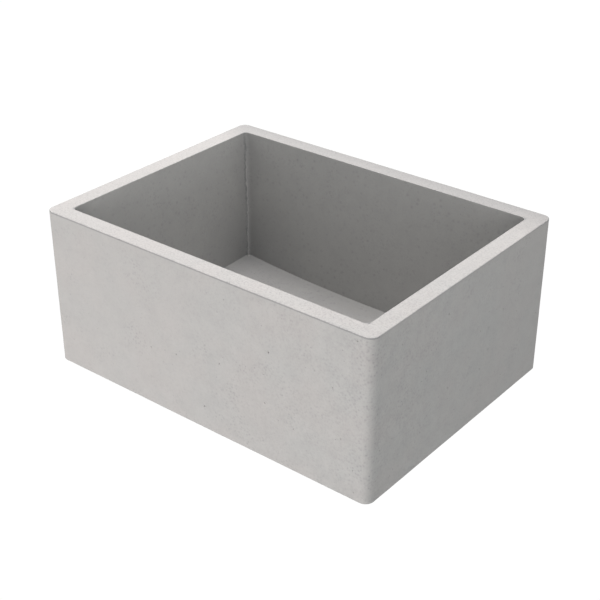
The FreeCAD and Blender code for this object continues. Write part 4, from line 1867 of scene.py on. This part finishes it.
@dataclass
class Stopper(SubAssembly):
    """The post that slides in the basket, its pull and the rubber that closes the outlet."""

    body: ClassVar[Body] = Body.STOPPER
    post_steps: int = 64
    post_top: float = -4.7
    groove: float = 3.1
    groove_top: float = -26.1
    groove_low: float = -27.8
    ring: float = 4.02
    ring_play: float = 0.1
    ring_round: float = 0.6
    collar: float = 7.0
    collar_top: float = -38.3
    stud: float = 3.0
    stud_root: float = 2.7
    stud_low: float = -52.0
    stud_pitch: float = 0.9
    lead: float = 0.5
    knob_steps: int = 80
    knob: float = 11.0
    knob_top: float = 9.3
    knob_low: float = -11.7
    knob_round: float = 2.8
    knob_under_round: float = 1.4
    waist: float = 6.0
    waist_top: float = 2.3
    waist_round: float = 2.6
    socket: float = 4.05
    socket_top: float = -4.6
    disc: float = 22.0
    disc_bore: float = 4.1
    disc_round: float = 0.3
    rubber: float = 25.0
    rubber_bore: float = 3.1
    rubber_round: float = 1.0
    lip_groove: float = 19.8
    lip_groove_half: float = 0.6
    nut_flats: float = 10.0
    nut_low: float = -51.0

    def build(self) -> list[bpy.types.Object]:
        """Builds and dresses the pieces.

        Returns:
            The pieces.
        """
        disc = Bench.washer(
            "backing_disc", self.disc_bore, self.disc, DRAIN.disc_low, DRAIN.collar_low, self.disc_round
        )
        nut_top = DRAIN.cup_floor_top
        nut = Bench.hex_nut("stopper_lock", self.nut_flats, self.nut_low, nut_top, self.rubber_bore)
        return [
            self.hand_over(self.sliding_post(), "stopper_post", BRIGHT_STEEL),
            self.hand_over(self.seal_ring(), "post_seal_ring", BLACK_RUBBER),
            self.hand_over(self.pull(), "stopper_knob", CHROMED_KNOB),
            self.hand_over(disc, "stopper_disc", BRIGHT_STEEL),
            self.hand_over(self.plug(), "rubber_stopper", BLACK_RUBBER),
            self.hand_over(nut, "stopper_nut", CAST_BRASS),
        ]

    def sliding_post(self) -> bpy.types.Object:
        """Makes the post with its ring groove, collar and threaded stud.

        Returns:
            The post.
        """
        corners = [
            (0.0, self.post_top),
            (DRAIN.post, self.post_top, self.lead),
            (DRAIN.post, self.groove_top),
            (self.groove, self.groove_top),
            (self.groove, self.groove_low),
            (DRAIN.post, self.groove_low),
            (DRAIN.post, self.collar_top),
            (self.collar, self.collar_top, self.lead),
            (self.collar, DRAIN.collar_low),
            (self.stud_root, DRAIN.collar_low),
            (self.stud_root, self.stud_low, self.lead),
            (0.0, self.stud_low),
        ]
        post = Bench.turn("sliding_post", corners, ring=False, steps=self.post_steps)
        low, high = self.stud_low + self.lead, DRAIN.disc_low + self.lead
        return Bench.join(post, Bench.thread(self.stud_root, self.stud, self.stud_pitch, low, high))

    def seal_ring(self) -> bpy.types.Object:
        """Makes the ring that holds the post where it is put.

        Returns:
            The ring.
        """
        inside = self.groove + self.ring_play
        low, high = self.groove_low + self.ring_play, self.groove_top - self.ring_play
        corners = [
            (inside, low),
            (self.ring, low, self.ring_round),
            (self.ring, high, self.ring_round),
            (inside, high),
        ]
        return Bench.turn("post_ring", corners, steps=self.post_steps)

    def pull(self) -> bpy.types.Object:
        """Makes the round pull with its finger waist.

        Returns:
            The pull.
        """
        corners = [
            (0.0, self.knob_top),
            (self.knob, self.knob_top, self.knob_round),
            (self.knob, self.waist_top, self.knob_under_round),
            (self.waist, self.waist_top, self.waist_round),
            (self.waist, self.knob_low, self.lead),
            (self.socket, self.knob_low),
            (self.socket, self.socket_top),
            (0.0, self.socket_top),
        ]
        return Bench.turn("pull_knob", corners, ring=False, steps=self.knob_steps)

    def plug(self) -> bpy.types.Object:
        """Makes the rubber with a groove inside its sealing lip.

        Returns:
            The rubber.
        """
        top, low, half = DRAIN.disc_low, DRAIN.cup_floor_top, self.lip_groove_half
        corners = [
            (self.rubber_bore, top),
            (self.rubber, top, self.rubber_round),
            (self.rubber, low, self.rubber_round),
            (self.lip_groove + half, low),
            (self.lip_groove, low + half, half / 2),
            (self.lip_groove - half, low),
            (self.rubber_bore, low),
        ]
        return Bench.turn("closing_rubber", corners)


@dataclass(frozen=True)
class SoftBox:
    """A rectangular studio light."""

    name: str
    place: Place
    size: tuple[float, float]
    power: float
    tint: Colour = (1.0, 1.0, 1.0)
    aim: Place = (0.0, 0.0, 0.15)

    def hang(self) -> None:
        """Hangs the light, turned to its aim; the camera doesn't see it."""
        Bench.clear()
        bpy.ops.object.light_add(type="AREA", location=self.place)
        lamp = bpy.context.object
        lamp.name = self.name
        lamp.data.shape = "RECTANGLE"
        lamp.data.size, lamp.data.size_y = self.size
        lamp.data.energy = self.power
        lamp.data.color = self.tint
        towards = Vector(self.aim) - Vector(self.place)
        lamp.rotation_euler = towards.to_track_quat("-Z", "Y").to_euler()
        lamp.visible_camera = False


@dataclass(frozen=True)
class Studio:
    """White floor, soft boxes and the camera; places here are metres."""

    camera_place: Place = (1.06315, -1.31751, 1.06253)
    azimuth: float = 38.771
    elevation: float = 29.295
    lens: float = 74.654
    sensor: float = 36.0
    floor_size: float = 60.0
    floor_glow: float = 1.02
    air: float = 0.33
    air_tint: Colour = (0.95, 1.0, 1.025)
    boxes: tuple[SoftBox, ...] = (
        SoftBox("overhead_box", (0.0, -0.045, 2.5), (1.6, 1.6), 44.0, (1.0, 0.965, 0.965)),
        SoftBox("low_front_box", (-0.75, -2.8, -0.58), (2.2, 1.3), 67.5, (1.0, 0.965, 0.955)),
        SoftBox("low_front_left_box", (-2.0, -2.0, -0.58), (2.2, 1.3), 15.0, (1.0, 0.965, 0.955)),
        SoftBox("back_left_box", (-1.85, 1.85, 2.0), (2.2, 1.6), 95.0, (1.0, 0.97, 0.958)),
        SoftBox("left_box", (-2.6, 0.0, 2.0), (2.2, 1.6), 35.0, (1.0, 0.97, 0.958)),
        SoftBox("right_box", (2.6, 0.0, 2.0), (2.2, 1.6), 11.5),
        SoftBox("front_right_box", (2.1, -2.1, 0.67), (2.2, 1.2), 21.0, (1.0, 0.985, 0.975)),
        SoftBox("low_right_box", (2.9, -0.4, 0.0), (2.2, 1.2), 14.0),
        SoftBox("back_right_box", (2.0, 2.0, 1.2), (2.2, 1.0), 5.0),
    )

    def set_up(self) -> None:
        """Sets up the whole studio."""
        bpy.context.scene.view_settings.view_transform = "Standard"
        self.lay_floor()
        self.fill_air()
        for box in self.boxes:
            box.hang()
        self.stand_camera()

    @staticmethod
    def show_either(
        tree: bpy.types.NodeTree, output: str, share: Socket, shaders: tuple[Socket, Socket]
    ) -> None:
        """Shows one of two shaders.

        Args:
            tree: of the nodes.
            output: name of the node that shows them.
            share: 0 shows the first, and 1 the second.
            shaders: the two.
        """
        choose = tree.nodes.new("ShaderNodeMixShader")
        for socket, source in zip(choose.inputs, (share, *shaders)):
            tree.links.new(source, socket)
        tree.links.new(choose.outputs["Shader"], tree.nodes[output].inputs["Surface"])

    def lay_floor(self) -> None:
        """Lays an even white floor that only the camera sees, from above."""
        Bench.clear()
        level = cad_box[0].z
        bpy.ops.mesh.primitive_plane_add(size=self.floor_size, location=(0.0, 0.0, level))
        floor = bpy.context.object
        floor.name = "studio_floor"
        board = Board("studio_white")
        glow = board.add("ShaderNodeEmission")
        glow.inputs["Strength"].default_value = self.floor_glow
        clear = board.add("ShaderNodeBsdfTransparent")
        below = board.add("ShaderNodeNewGeometry").outputs["Backfacing"]
        shaders = (glow.outputs["Emission"], clear.outputs["BSDF"])
        self.show_either(board.tree, "Material Output", below, shaders)
        floor.data.materials.append(board.material)
        floor.visible_diffuse = False
        floor.visible_glossy = False
        floor.visible_shadow = False

    def fill_air(self) -> None:
        """Fills the room with an even, dim light that the camera sees as white."""
        world = bpy.data.worlds.new("studio_air")
        world.use_nodes = True
        tree = world.node_tree
        dim = tree.nodes["Background"]
        dim.inputs["Color"].default_value = (*self.air_tint, 1.0)
        dim.inputs["Strength"].default_value = self.air
        white = tree.nodes.new("ShaderNodeBackground")
        white.inputs["Color"].default_value = (1.0, 1.0, 1.0, 1.0)
        seen = tree.nodes.new("ShaderNodeLightPath").outputs["Is Camera Ray"]
        shaders = (dim.outputs["Background"], white.outputs["Background"])
        self.show_either(tree, "World Output", seen, shaders)
        bpy.context.scene.world = world

    def stand_camera(self) -> None:
        """Stands the camera at the photograph's viewpoint."""
        turn, rise = math.radians(self.azimuth), math.radians(self.elevation)
        back = Vector((math.sin(turn) * math.cos(rise), -math.cos(turn) * math.cos(rise), math.sin(rise)))
        Bench.clear()
        bpy.ops.object.camera_add()
        camera = bpy.context.object
        camera.name = "studio_camera"
        look = back.to_track_quat("Z", "Y").to_matrix().to_4x4()
        camera.matrix_world = Matrix.Translation(self.camera_place) @ look
        camera.data.sensor_width = self.sensor
        camera.data.lens = self.lens
        bpy.context.scene.camera = camera


def main() -> None:
    """Builds the sink's sub-assemblies and the studio."""
    logging.basicConfig(level=logging.INFO, format="%(name)s: %(message)s")
    for assembly in (Basin(), StrainerFitting(), ClampStack(), Outlet(), Basket(), Stopper()):
        for piece in assembly.build():
            LOG.info("%s: %d faces", piece.name, len(piece.data.polygons))
    Studio().set_up()


if __name__ == "__main__":
    main()
